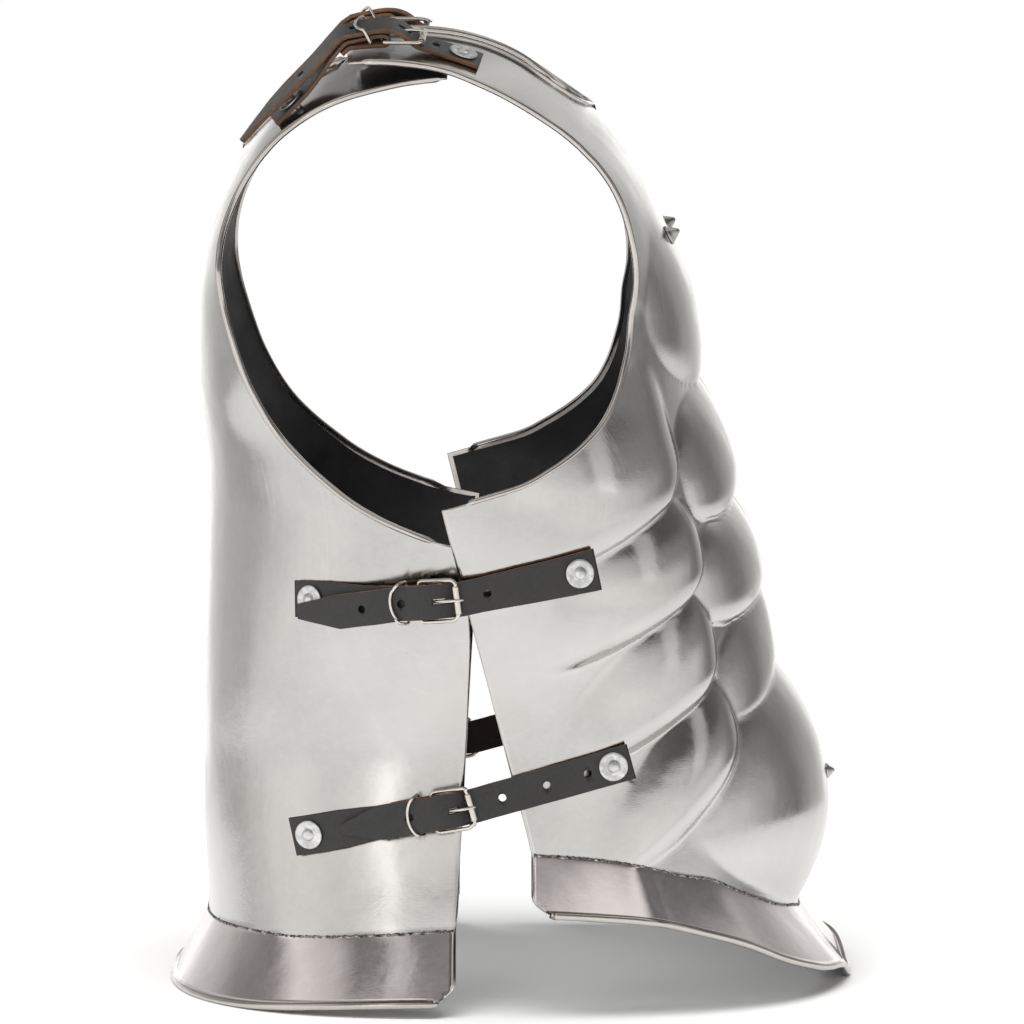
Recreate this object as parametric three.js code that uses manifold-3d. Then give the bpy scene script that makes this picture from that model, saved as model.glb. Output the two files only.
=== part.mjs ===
// Steel muscle cuirass: breast plate and back plate joined by leather straps
// over the shoulders and at the sides.  Millimetres, +Z up, front faces -Y,
// the wearer's left is +X.  It stands on the hems of its two plates.
//
// Torso coordinates used below: x across, f forward, h height above the torso
// datum.  A plate is a skin of sections.  Below the armhole centre a section
// lies in a level plane; above it the section plane swings about the armhole
// axis, so the skin runs over the shoulder.  Station v is the height below
// (negative) or the swept length above (positive) the armhole centre.
import * as THREE from 'three';
import { mergeVertices } from 'three/addons/utils/BufferGeometryUtils.js';
import Module from 'manifold-3d';

const wasm = await Module();
wasm.setup();
const { Vector3, Vector2 } = THREE;
const RAD = Math.PI / 180;

// ---------------------------------------------------------------- sizes (mm)
const sheet = 1.2;              // steel sheet
const armAxisF = -44;           // armhole axis, forward of the torso datum
const armAxisH = 115;           // armhole axis, above the torso datum
const sweepR = 140;             // swept length per radian above the axis
const armBead = 1.8;            // radius of the rolled armhole edge
const neckBead = 2.4;           // radius of the rolled neck edge
const hemBead = 2.2;            // radius of the rolled hem
const hemRest = 1.3;            // hem centre line above the standing plane
const datumZ = 247 + hemRest;   // torso datum above the standing plane
const strapThick = 2.4;         // long, holed straps
const loopThick = 2.2;          // short straps that hold the buckles
const strapGap = 0.35;          // clearance between neighbouring pieces
const wireR = 1.1;              // buckle frame wire
const rollerR = 1.9;
const keeperR = 0.8;            // keeper ring wire
const prongR = 0.8;
const washerR = 7.6;
const washerT = 1.1;
const rivetShankR = 2.0;
const rivetHoleR = 2.6;

// ---------------------------------------------------------------- tables
// v station | reach of the crest from the armhole axis | seat of the section
// centre from that axis | half width | squareness of the section
const breastSections = [
  { v: -345, reach: 197.0, seat: 66.0, half: 170, square: 2.30 },
  { v: -326, reach: 197.4, seat: 61.0, half: 166, square: 2.30 },
  { v: -282, reach: 197.0, seat: 54.5, half: 159, square: 2.28 },
  { v: -239, reach: 193.5, seat: 43.5, half: 155, square: 2.26 },
  { v: -193, reach: 179.2, seat: 31.8, half: 160, square: 2.26 },
  { v: -141, reach: 168.3, seat: 18.6, half: 175, square: 2.28 },
  { v: -98, reach: 156.3, seat: 7.7, half: 185, square: 2.30 },
  { v: -49, reach: 143.2, seat: -4.7, half: 187, square: 2.30 },
  { v: -22, reach: 140.0, seat: -11.6, half: 187, square: 2.35 },
  { v: 0, reach: 136.5, seat: -17, half: 189, square: 2.40 },
  { v: 17, reach: 133.4, seat: -16, half: 200, square: 2.40 },
  { v: 49, reach: 131.2, seat: -13, half: 227, square: 2.30 },
  { v: 85, reach: 131.6, seat: -8, half: 253, square: 2.15 },
  { v: 123, reach: 134.5, seat: -3, half: 247, square: 2.0 },
  { v: 141, reach: 138, seat: 0, half: 226, square: 2.0 },
  { v: 173, reach: 144, seat: 0, half: 214, square: 2.0 },
  { v: 196, reach: 146, seat: 0, half: 221, square: 2.0 },
  { v: 220, reach: 147, seat: 0, half: 239, square: 2.0 },
  { v: 263, reach: 149.7, seat: 0, half: 282, square: 2.0 },
];
const backSections = [
  { v: -345, reach: 119.0, seat: -10, half: 172, square: 2.6 },
  { v: -318, reach: 119.2, seat: -14.8, half: 166, square: 2.6 },
  { v: -280, reach: 120.9, seat: -16.9, half: 157, square: 2.6 },
  { v: -240, reach: 120.9, seat: -19.2, half: 152, square: 2.6 },
  { v: -200, reach: 120.9, seat: -21.4, half: 156, square: 2.6 },
  { v: -160, reach: 120.6, seat: -23.6, half: 167, square: 2.4 },
  { v: -120, reach: 119.4, seat: -25.7, half: 178, square: 2.15 },
  { v: -99, reach: 119.4, seat: -26.9, half: 182, square: 2.1 },
  { v: -84, reach: 119.5, seat: -27.7, half: 182, square: 2.2 },
  { v: -64, reach: 121.0, seat: -28.8, half: 182, square: 2.35 },
  { v: -38, reach: 123.5, seat: -30.2, half: 182, square: 2.8 },
  { v: 0, reach: 123.9, seat: -32, half: 182, square: 3.4 },
  { v: 10, reach: 123.6, seat: -32, half: 183, square: 3.5 },
  { v: 29, reach: 122.7, seat: -28, half: 195, square: 3.6 },
  { v: 49, reach: 123.4, seat: -22, half: 196, square: 3.5 },
  { v: 88, reach: 127.7, seat: -10, half: 198, square: 3.0 },
  { v: 122, reach: 133.0, seat: -5, half: 218, square: 2.4 },
  { v: 141, reach: 137.0, seat: -3, half: 212, square: 2.2 },
  { v: 159, reach: 141, seat: 0, half: 220, square: 2.0 },
  { v: 183, reach: 143.5, seat: 0, half: 205, square: 2.0 },
  { v: 220, reach: 144.9, seat: 0, half: 203.7, square: 2.0 },
  { v: 234, reach: 145, seat: 0, half: 213, square: 2.0 },
];
// armhole edge: drop below the axis with its reach, then sweep angle with its radius
const breastArmhole = [
  { drop: 98.1, reach: 8.3 }, { drop: 91.8, reach: 30.5 }, { drop: 86.5, reach: 48.1 },
  { drop: 78.2, reach: 63.7 }, { drop: 60.9, reach: 84.6 }, { drop: 38.6, reach: 97.8 },
  { drop: 13.3, reach: 104.8 }, { sweep: 6.8, reach: 108.7 }, { sweep: 20.2, reach: 112.8 },
  { sweep: 33.9, reach: 116.3 }, { sweep: 47.1, reach: 117.1 }, { sweep: 60, reach: 117.6 },
  { sweep: 71.8, reach: 120.5 }, { sweep: 79.5, reach: 123.4 }, { sweep: 85, reach: 126.1 },
  { sweep: 97.7, reach: 131.5 }, { sweep: 107.6, reach: 136.2 },
];
const backArmhole = [
  { drop: 120, reach: -27 }, { drop: 117.4, reach: -12.4 }, { drop: 109, reach: 14.1 },
  { drop: 99, reach: 34.9 }, { drop: 83.9, reach: 55.9 }, { drop: 63.7, reach: 76.9 },
  { drop: 38.4, reach: 92.8 }, { drop: 12.8, reach: 102.5 }, { sweep: 4.1, reach: 108.2 },
  { sweep: 11.9, reach: 112.1 }, { sweep: 19.6, reach: 115 }, { sweep: 30.2, reach: 117.7 },
  { sweep: 39.4, reach: 119.3 }, { sweep: 50.2, reach: 120.9 }, { sweep: 58.1, reach: 121.1 },
  { sweep: 64.7, reach: 121 }, { sweep: 71.8, reach: 120.4 }, { sweep: 78.2, reach: 120.2 },
  { sweep: 84.4, reach: 121 }, { sweep: 94.6, reach: 123.4 },
];
// neck edge: station v, section angle
const breastNeck = [
  { v: 123, angle: 0 }, { v: 124.5, angle: 9 }, { v: 127.5, angle: 15.5 }, { v: 132, angle: 20.6 },
  { v: 141.5, angle: 24.8 }, { v: 158, angle: 26.6 }, { v: 173, angle: 25.5 }, { v: 197, angle: 24 },
  { v: 220, angle: 23.6 }, { v: 262, angle: 23 },
];
const backNeck = [
  { v: 98, angle: 0 }, { v: 99.5, angle: 8.5 }, { v: 102.5, angle: 14.5 }, { v: 108, angle: 19 },
  { v: 118, angle: 22.5 }, { v: 132, angle: 24.5 }, { v: 158, angle: 25 }, { v: 190, angle: 24.5 },
  { v: 234, angle: 24 },
];
// hem flange: section angle, station of the welded seam, fall and flare of the hem below it
const breastHem = [
  { angle: 0, seam: -326, fall: 36.2, flare: 27 }, { angle: 9, seam: -325.4, fall: 36.7, flare: 27 },
  { angle: 20, seam: -322, fall: 31.5, flare: 27 }, { angle: 36, seam: -316, fall: 32.2, flare: 27 },
  { angle: 48, seam: -306, fall: 32.3, flare: 27 }, { angle: 55, seam: -298, fall: 31, flare: 26.5 },
  { angle: 62, seam: -294, fall: 27.5, flare: 26.5 }, { angle: 70, seam: -288, fall: 26.4, flare: 26 },
  { angle: 78, seam: -284, fall: 27.4, flare: 26 }, { angle: 90, seam: -281, fall: 28, flare: 26 },
];
const backHem = [
  { angle: 0, seam: -327, fall: 35, flare: 19 }, { angle: 30, seam: -326, fall: 36, flare: 19.5 },
  { angle: 48, seam: -325.5, fall: 36.5, flare: 20 }, { angle: 60, seam: -325.5, fall: 35, flare: 20 },
  { angle: 70, seam: -324, fall: 34, flare: 20 }, { angle: 80, seam: -322, fall: 34.5, flare: 20 },
  { angle: 90, seam: -320, fall: 36, flare: 20 },
];
// muscle relief: each row is one embossed muscle of a half plate.  centre by section
// angle and station, reach of the boss towards the middle line, the side, up and
// down, slope of its rows, height, plan squareness, and how gently each rim fades
const muscles = [
  { name: 'chest', angle: 20, v: -6, inner: 20.5, outer: 24, up: 78, down: 36, slope: 0.25, height: 7.5, square: 2.3, rimA: 0.8, rimUp: 2.0, rimDown: 0.55 },
  { name: 'abs_1', angle: 19, v: -80, inner: 19.5, outer: 22.5, up: 46, down: 28, slope: -0.42, height: 12.5, square: 2.5, rimA: 0.62, rimUp: 0.7, rimDown: 0.5 },
  { name: 'abs_2', angle: 20, v: -135, inner: 20.5, outer: 25, up: 36, down: 26, slope: -0.42, height: 11.5, square: 2.5, rimA: 0.62, rimUp: 0.7, rimDown: 0.5 },
  { name: 'abs_3', angle: 21, v: -180, inner: 21.5, outer: 23, up: 34, down: 22, slope: -1.0, height: 10, square: 2.4, rimA: 0.62, rimUp: 0.7, rimDown: 0.5 },
  { name: 'belly', angle: 0, v: -268, inner: 60, outer: 60, up: 84, down: 56, slope: 0, height: 18, square: 1.9, rimA: 0.95, rimUp: 0.62, rimDown: 1.1 },
  { name: 'rib_1', angle: 52, v: -80, inner: 11, outer: 34, up: 60, down: 24, slope: -1.45, height: 8, square: 2.2, rimA: 1.3, rimUp: 1.4, rimDown: 0.5 },
  { name: 'rib_2', angle: 54, v: -134, inner: 11, outer: 34, up: 36, down: 25, slope: -1.45, height: 9.5, square: 2.2, rimA: 1.2, rimUp: 0.8, rimDown: 0.5 },
  { name: 'rib_3', angle: 54, v: -188, inner: 11, outer: 32, up: 36, down: 25, slope: -1.5, height: 9.5, square: 2.2, rimA: 1.2, rimUp: 0.8, rimDown: 0.5 },
  { name: 'rib_4', angle: 54, v: -238, inner: 12.5, outer: 30, up: 36, down: 25, slope: -2.0, height: 9, square: 2.2, rimA: 1.2, rimUp: 0.8, rimDown: 0.6 },
];

// ---------------------------------------------------------------- small maths
const mix = (a, b, t) => a + (b - a) * t;
// straight runs through a table column
function runs(rows, xk, yk) {
  return (s) => {
    s = Math.min(Math.max(s, rows[0][xk]), rows[rows.length - 1][xk]);
    let i = 0;
    while (i < rows.length - 2 && s > rows[i + 1][xk]) i++;
    return mix(rows[i][yk], rows[i + 1][yk], (s - rows[i][xk]) / (rows[i + 1][xk] - rows[i][xk]));
  };
}
// smooth curve through a table column
function curve(rows, xk, yk) {
  const r = rows.slice().sort((p, q) => p[xk] - q[xk]);
  const x = r.map((p) => p[xk]), y = r.map((p) => p[yk]), n = x.length;
  const d = [], m = [];
  for (let i = 0; i < n - 1; i++) d.push((y[i + 1] - y[i]) / (x[i + 1] - x[i]));
  for (let i = 0; i < n; i++) {
    if (i === 0) m.push(d[0]);
    else if (i === n - 1) m.push(d[n - 2]);
    else {
      const a = x[i] - x[i - 1], b = x[i + 1] - x[i];
      m.push((d[i - 1] * b + d[i] * a) / (a + b));
    }
  }
  return (s) => {
    s = Math.min(Math.max(s, x[0]), x[n - 1]);
    let i = 0;
    while (i < n - 2 && s > x[i + 1]) i++;
    const h = x[i + 1] - x[i], t = (s - x[i]) / h, t2 = t * t, t3 = t2 * t;
    return (2 * t3 - 3 * t2 + 1) * y[i] + (t3 - 2 * t2 + t) * h * m[i]
      + (3 * t2 - 2 * t3) * y[i + 1] + (t3 - t2) * h * m[i + 1];
  };
}

// ---------------------------------------------------------------- plate skin
function makeSkin(sections, armhole, neck, hem, sign, neckStop, relief) {
  const reach = curve(sections, 'v', 'reach'), seat = curve(sections, 'v', 'seat');
  const half = curve(sections, 'v', 'half'), square = curve(sections, 'v', 'square');
  const section = (v, a) => {
    const b = reach(v) - seat(v), w = half(v), n = square(v);
    const s = Math.abs(Math.sin(a)), c = Math.abs(Math.cos(a));
    const r = (((s / w) ** n) + ((c / b) ** n)) ** (-1 / n);
    return [r * Math.sin(a), seat(v) + r * Math.cos(a)];
  };
  const bare = (v, a) => {
    const [x, r] = section(v, a), t = Math.max(v, 0) / sweepR;
    return new Vector3(x, -(armAxisF + sign * r * Math.cos(t)), armAxisH + Math.min(v, 0) + r * Math.sin(t) + datumZ);
  };
  const normal = (fn, v, a) => {
    const e = 0.02, k = 0.9;
    const da = fn(v, a + e).sub(fn(v, a - e)), dv = fn(v + k, a).sub(fn(v - k, a));
    return da.cross(dv).multiplyScalar(sign).normalize();
  };
  const point = (v, a) => {
    const p = bare(v, a), d = relief ? relief(Math.abs(a) / RAD, v) : 0;
    return d ? p.addScaledVector(normal(bare, v, a), d) : p;
  };
  const angleAt = (v, r) => {
    let lo = 0, hi = Math.PI / 2;
    for (let i = 0; i < 40; i++) { const m = (lo + hi) / 2; if (section(v, m)[1] > r) lo = m; else hi = m; }
    return (lo + hi) / 2;
  };
  const edge = armhole.map((p) => {
    const v = p.sweep === undefined ? -p.drop : p.sweep * RAD * sweepR;
    return { v, a: angleAt(v, p.reach) };
  });
  const armAngle = curve(edge, 'v', 'a'), corner = edge[0].v;
  const neckAngle = curve(neck, 'v', 'angle');
  return {
    sign, bare, point, corner, neckStop,
    armAngle: (v) => (v <= corner ? Math.PI / 2 : armAngle(v)),
    neckAngle: (v) => neckAngle(v) * RAD,
    seam: curve(hem, 'angle', 'seam'), fall: curve(hem, 'angle', 'fall'), flare: curve(hem, 'angle', 'flare'),
  };
}

function muscleRelief(angle, v) {
  let best = 0;
  for (const m of muscles) {
    const da = angle - m.angle, dv = v - m.v - m.slope * da;
    const na = Math.abs(da) / (da < 0 ? m.inner : m.outer), nv = Math.abs(dv) / (dv > 0 ? m.up : m.down);
    const r = (na ** m.square + nv ** m.square) ** (1 / m.square);
    if (r >= 1) continue;
    const wa = r > 1e-6 ? (na * na) / (na * na + nv * nv) : 0;
    const rim = mix(dv > 0 ? m.rimUp : m.rimDown, m.rimA, wa);
    best = Math.max(best, m.height * (1 - r * r) ** rim);
  }
  return best;
}

const breastSkin = makeSkin(breastSections, breastArmhole, breastNeck, breastHem, 1, 255, muscleRelief);
const backSkin = makeSkin(backSections, backArmhole, backNeck, backHem, -1, 170, null);

// ---------------------------------------------------------------- mesh helpers
function meshOf(verts, tris) {
  const g = new THREE.BufferGeometry();
  g.setAttribute('position', new THREE.Float32BufferAttribute(verts.flatMap((p) => [p.x, p.y, p.z]), 3));
  g.setIndex(tris.flat());
  return g;
}
function toSolid(g) {
  const c = g.clone();
  c.deleteAttribute('normal'); c.deleteAttribute('uv');
  const m = mergeVertices(c, 1e-4);
  const idx = Array.from(m.index.array), out = [];
  for (let i = 0; i < idx.length; i += 3) {
    const [a, b, d] = [idx[i], idx[i + 1], idx[i + 2]];
    if (a !== b && b !== d && d !== a) out.push(a, b, d);
  }
  return new wasm.Manifold(new wasm.Mesh({
    numProp: 3, vertProperties: new Float32Array(m.attributes.position.array), triVerts: new Uint32Array(out),
  }));
}
function fromSolid(s) {
  const m = s.getMesh(), g = new THREE.BufferGeometry();
  g.setAttribute('position', new THREE.Float32BufferAttribute(m.vertProperties, 3));
  g.setIndex(Array.from(m.triVerts));
  return g;
}
const cut = (g, tools) => fromSolid(tools.reduce((s, t) => s.subtract(toSolid(t)), toSolid(g)));
function mirrored(g) {
  const c = g.clone(), p = c.attributes.position, i = c.index.array.slice();
  for (let k = 0; k < p.count; k++) p.setX(k, -p.getX(k));
  for (let k = 0; k < i.length; k += 3) [i[k + 1], i[k + 2]] = [i[k + 2], i[k + 1]];
  c.setIndex(Array.from(i));
  return c;
}

// Rows run from the shoulder end down to the hem, columns from the neck or the
// middle line out to the armhole or side edge; the two halves share column 0.
function plate(skin, upper, lower, cols) {
  const rows = [];
  for (const r of upper) rows.push({ neck: r.neck, at: (c) => {
    const a0 = r.neck ? skin.neckAngle(r.mid) : 0, a1 = skin.armAngle(r.edge);
    return skin.point(mix(r.mid, r.edge, c), mix(a0, a1, c));
  }, bead: r.edge > skin.corner + 4 && r.edge < upper[0].edge - 6, neckBead: r.mid < skin.neckStop });
  const last = upper[upper.length - 1];
  for (const q of lower) rows.push({ at: (c) => {
    const a = c * Math.PI / 2;
    return skin.point(mix(mix(last.mid, last.edge, c), skin.seam(a / RAD), q), a);
  } });
  const flangeRows = [
    { w: 0.1, trim: 90 }, { w: 0.38, trim: 90 }, { w: 0.7, trim: 90 }, { w: 1, trim: 86.5 },
  ];
  for (const f of flangeRows) rows.push({ hem: f.w === 1, at: (c) => {
    const deg = Math.min(c * 90, f.trim), a = deg * RAD, v = skin.seam(deg);
    const p = skin.point(v, a), e = 0.01;
    const t = skin.bare(v, a + e).sub(skin.bare(v, a - e)); t.z = 0; t.normalize();
    const out = new Vector3(t.y, -t.x, 0).multiplyScalar(skin.sign);
    p.addScaledVector(out, skin.flare(deg) * f.w ** 1.12);
    p.z = armAxisH + v + datumZ - skin.fall(deg) * f.w;
    if (f.w === 1) p.z = Math.max(p.z, hemRest);
    return p;
  } });
  const n = rows.length, m = cols.length, verts = [], id = [];
  for (const side of [1, -1]) {
    const grid = [];
    rows.forEach((r, i) => {
      grid.push(cols.map((c, j) => {
        if (side < 0 && j === 0 && !(r.neck && !r.close)) {
          if (!r.neck) return id[0][i][0];
        }
        const p = r.at(c);
        if (side < 0) p.x = -p.x;
        if (j === 0 && !r.neck) p.x = 0;
        verts.push({ p, i, j });
        return verts.length - 1;
      }));
    });
    id.push(grid);
  }
  const tris = [];
  id.forEach((g, s) => {
    for (let i = 0; i < n - 1; i++) for (let j = 0; j < m - 1; j++) {
      const a = g[i][j], b = g[i][j + 1], c = g[i + 1][j + 1], d = g[i + 1][j];
      const flip = (s === 1) !== (skin.sign < 0);
      for (const t of [[a, d, c], [a, c, b]]) if (new Set(t).size === 3) tris.push(flip ? [t[0], t[2], t[1]] : t);
    }
  });
  // vertex normals of the skin
  const nrm = verts.map(() => new Vector3());
  for (const [a, b, c] of tris) {
    const k = verts[b].p.clone().sub(verts[a].p).cross(verts[c].p.clone().sub(verts[a].p));
    nrm[a].add(k); nrm[b].add(k); nrm[c].add(k);
  }
  nrm.forEach((k) => k.normalize());
  const outer = verts.map((q, i) => q.p.clone().addScaledVector(nrm[i], sheet / 2));
  const inner = verts.map((q, i) => q.p.clone().addScaledVector(nrm[i], -sheet / 2));
  const N = verts.length, all = [...outer, ...inner], faces = [];
  for (const [a, b, c] of tris) { faces.push([a, b, c]); faces.push([a + N, c + N, b + N]); }
  // open edges of the skin get a wall, or a rolled bead
  const open = new Map();
  for (const t of tris) for (let k = 0; k < 3; k++) {
    const a = t[k], b = t[(k + 1) % 3];
    if (open.has(`${b},${a}`)) open.delete(`${b},${a}`); else open.set(`${a},${b}`, [a, b]);
  }
  const edges = [...open.values()], dir = new Map();
  for (const [a, b] of edges) {
    const d = verts[b].p.clone().sub(verts[a].p).normalize();
    for (const k of [a, b]) dir.set(k, (dir.get(k) || new Vector3()).add(d));
  }
  const beadOf = ({ i, j }) => {
    const r = rows[i];
    if (r.hem) return j < m - 1 ? hemBead : 0;
    if (j === m - 1) return r.bead ? armBead : 0;
    if (j === 0 && r.neck) return r.neckBead ? neckBead : 0;
    return 0;
  };
  const K = 5, ring = new Map();
  for (const k of dir.keys()) {
    const r = beadOf(verts[k]);
    if (!r) { ring.set(k, [k, k, k, k + N, k + N, k + N]); continue; }
    const t = dir.get(k).clone().normalize().cross(nrm[k]).normalize(), list = [k];
    for (const deg of [90, 30, -30, -90]) {
      const p = verts[k].p.clone().addScaledVector(t, r * Math.cos(deg * RAD)).addScaledVector(nrm[k], r * Math.sin(deg * RAD));
      if (rows[verts[k].i].hem && p.z < 0.5) p.z = 0;
      all.push(p); list.push(all.length - 1);
    }
    list.push(k + N);
    ring.set(k, list);
  }
  for (const [a, b] of edges) {
    const A = ring.get(a), B = ring.get(b);
    for (let k = 0; k < K; k++) for (const t of [[B[k], A[k], A[k + 1]], [B[k], A[k + 1], B[k + 1]]]) {
      if (new Set(t).size === 3) faces.push(t);
    }
  }
  return meshOf(all, faces);
}

const rowsOf = (mids, edges, necks) => mids.map((mid, i) => ({ mid, edge: edges[i], neck: i < necks }));
const breastRows = rowsOf(
  [262, 233, 205, 180, 158, 144, 134, 127.5, 123, 108, 92, 76, 60, 44, 28, 12, -3, -17, -29, -38, -46, -57, -71, -85, -97, -108],
  [263, 236, 210, 184, 160, 145, 131, 117, 103, 90, 74, 58, 42, 26, 10, -5, -19, -33, -45, -56, -66, -75, -83, -89, -94, -98.1], 9);
const backRows = rowsOf(
  [232, 204, 178, 152, 132, 116, 105, 98, 82, 64, 46, 26, 6, -16, -38, -60, -80, -98, -112, -124],
  [231, 205, 180, 156, 138, 121, 106, 92, 76, 57, 37, 16, -8, -32, -54, -76, -94, -108, -116, -120], 8);
const ratios = (list) => list.map((d) => d / list[list.length - 1]);
let breast = plate(breastSkin, breastRows,
  ratios([13, 25, 37, 50, 64, 76, 89, 105, 122, 140, 160, 182, 203, 218]),
  ratios([0, 6, 12, 18, 24, 30, 36, 40, 44, 49, 56, 65, 77, 90]));
let back = plate(backSkin, backRows, ratios([24, 60, 96, 132, 168, 203]),
  ratios([0, 11, 22, 33, 44, 55, 66, 78, 90]));

// ---------------------------------------------------------------- straps
const solidPlates = [breast, back].map((g) => new THREE.Mesh(g, new THREE.MeshBasicMaterial({ side: THREE.DoubleSide })));
solidPlates.forEach((m) => { m.geometry.computeBoundingSphere(); m.updateMatrixWorld(); });
const caster = new THREE.Raycaster();
function hitAt(origin, dir, which = solidPlates) {
  caster.set(origin, dir);
  const h = caster.intersectObjects(which, false);
  return h.length ? h : null;
}

// A strap lane: a line over the body, pulled taut over the plates below it.
// side lanes run in the (f, h) plane and stand off along x;
// shoulder lanes run along f at one x and stand off along z.
function lane(spec) {
  const step = 2.5, pts = [];
  const P = spec.path.map((p) => new Vector2(p[0], p[1]));
  const both = spec.also ? [P, spec.also.map((p) => new Vector2(p[0], p[1]))] : [P];
  let total = 0;
  for (let i = 0; i < P.length - 1; i++) total += P[i].distanceTo(P[i + 1]);
  const along = (Q, s) => {
    let i = 0, rest = s;
    while (i < Q.length - 2 && rest > Q[i].distanceTo(Q[i + 1])) { rest -= Q[i].distanceTo(Q[i + 1]); i++; }
    const d = Q[i + 1].clone().sub(Q[i]).normalize();
    return [Q[i].clone().addScaledVector(d, rest), d];
  };
  const at = (s) => along(P, s);
  const tilt = spec.shoulder ? spec.tilt * RAD : 0;
  for (let s = 0; s <= total + 1e-6; s += step) {
    let best = -1e9;
    for (const Q of both) for (const f of [-1, -0.67, -0.33, 0, 0.33, 0.67, 1]) {
      const [q, d] = along(Q, s), w = f * spec.reachW;
      const o = spec.shoulder ? new Vector3(q.y + w * Math.cos(tilt), -q.x, 700)
        : new Vector3(400, -q.x - w * d.y, q.y - w * d.x + datumZ);
      const h = hitAt(o, spec.shoulder ? new Vector3(0, 0, -1) : new Vector3(-1, 0, 0));
      if (h) best = Math.max(best, spec.shoulder ? h[0].point.z + w * Math.sin(tilt) : h[0].point.x);
    }
    if (best > -1e8) pts.push(new Vector2(s, best));
  }
  // taut line: upper hull of the supports
  const hull = [];
  for (const p of pts) {
    while (hull.length > 1) {
      const a = hull[hull.length - 2], b = hull[hull.length - 1];
      if ((b.x - a.x) * (p.y - a.y) - (b.y - a.y) * (p.x - a.x) >= 0) hull.pop(); else break;
    }
    hull.push(p);
  }
  const raw = (s) => {
    let i = 0;
    while (i < hull.length - 2 && s > hull[i + 1].x) i++;
    return mix(hull[i].y, hull[i + 1].y, (s - hull[i].x) / (hull[i + 1].x - hull[i].x));
  };
  const span = 12;
  const soft = (s) => {
    let sum = 0, n = 0;
    for (let k = -span; k <= span; k += 1.5) { const w = 1 - Math.abs(k) / (span + 1); sum += w * raw(s + k); n += w; }
    return Math.max(sum / n, raw(s));
  };
  // point at lane distance s, across w, height h above the taut line
  return {
    length: total,
    map: (s, w, h) => {
      const e = 1.5, sl = (soft(s + e) - soft(s - e)) / (2 * e), [q, d] = at(s);
      const base = spec.shoulder ? new Vector3(q.y, -q.x, soft(s)) : new Vector3(soft(s), -q.x, q.y + datumZ);
      const fwd = spec.shoulder ? new Vector3(0, -d.x, 0) : new Vector3(0, -d.x, d.y);
      const up0 = spec.shoulder ? new Vector3(Math.sin(tilt), 0, Math.cos(tilt)) : new Vector3(1, 0, 0);
      const t = fwd.clone().addScaledVector(spec.shoulder ? new Vector3(0, 0, 1) : new Vector3(1, 0, 0), sl).normalize();
      const across = spec.shoulder ? new Vector3(Math.cos(tilt), 0, -Math.sin(tilt)) : new Vector3().crossVectors(fwd, new Vector3(1, 0, 0)).negate();
      across.addScaledVector(t, -across.dot(t)).normalize();
      const n = new Vector3().crossVectors(across, t);
      if (n.dot(up0) < 0) n.negate();
      return base.addScaledVector(across, w).addScaledVector(n, h);
    },
  };
}

// a flat strap swept along points (s, h) of a lane; half width may vary with s
function ribbon(ln, line, thick, halfW) {
  const n = line.length, dirs = line.map((p, i) => {
    const a = line[Math.max(i - 1, 0)], b = line[Math.min(i + 1, n - 1)];
    const d = new Vector2(b[0] - a[0], b[1] - a[1]).normalize();
    return new Vector2(-d.y, d.x);
  });
  const verts = [], tris = [];
  line.forEach((p, i) => {
    const w = halfW(p[0], i / (n - 1));
    for (const [sw, st] of [[-1, -1], [1, -1], [1, 1], [-1, 1]]) {
      const o = dirs[i].clone().multiplyScalar(st * thick / 2);
      verts.push(ln.map(p[0] + o.x, sw * w, p[1] + o.y));
    }
  });
  for (let i = 0; i < n - 1; i++) for (let k = 0; k < 4; k++) {
    const a = i * 4 + k, b = i * 4 + (k + 1) % 4, c = b + 4, d = a + 4;
    tris.push([a, c, b], [a, d, c]);
  }
  tris.push([0, 1, 2], [0, 2, 3]);
  const e = (n - 1) * 4;
  tris.push([e, e + 2, e + 1], [e, e + 3, e + 2]);
  return outward(meshOf(verts, tris));
}
function signedVolume(g) {
  const p = g.attributes.position, ix = g.index.array;
  let v = 0;
  const a = new Vector3(), b = new Vector3(), c = new Vector3();
  for (let i = 0; i < ix.length; i += 3) {
    a.fromBufferAttribute(p, ix[i]); b.fromBufferAttribute(p, ix[i + 1]); c.fromBufferAttribute(p, ix[i + 2]);
    v += a.dot(b.cross(c)) / 6;
  }
  return v;
}
function outward(g) {
  if (signedVolume(g) >= 0) return g;
  const i = Array.from(g.index.array);
  for (let k = 0; k < i.length; k += 3) [i[k + 1], i[k + 2]] = [i[k + 2], i[k + 1]];
  g.setIndex(i);
  return g;
}
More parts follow.
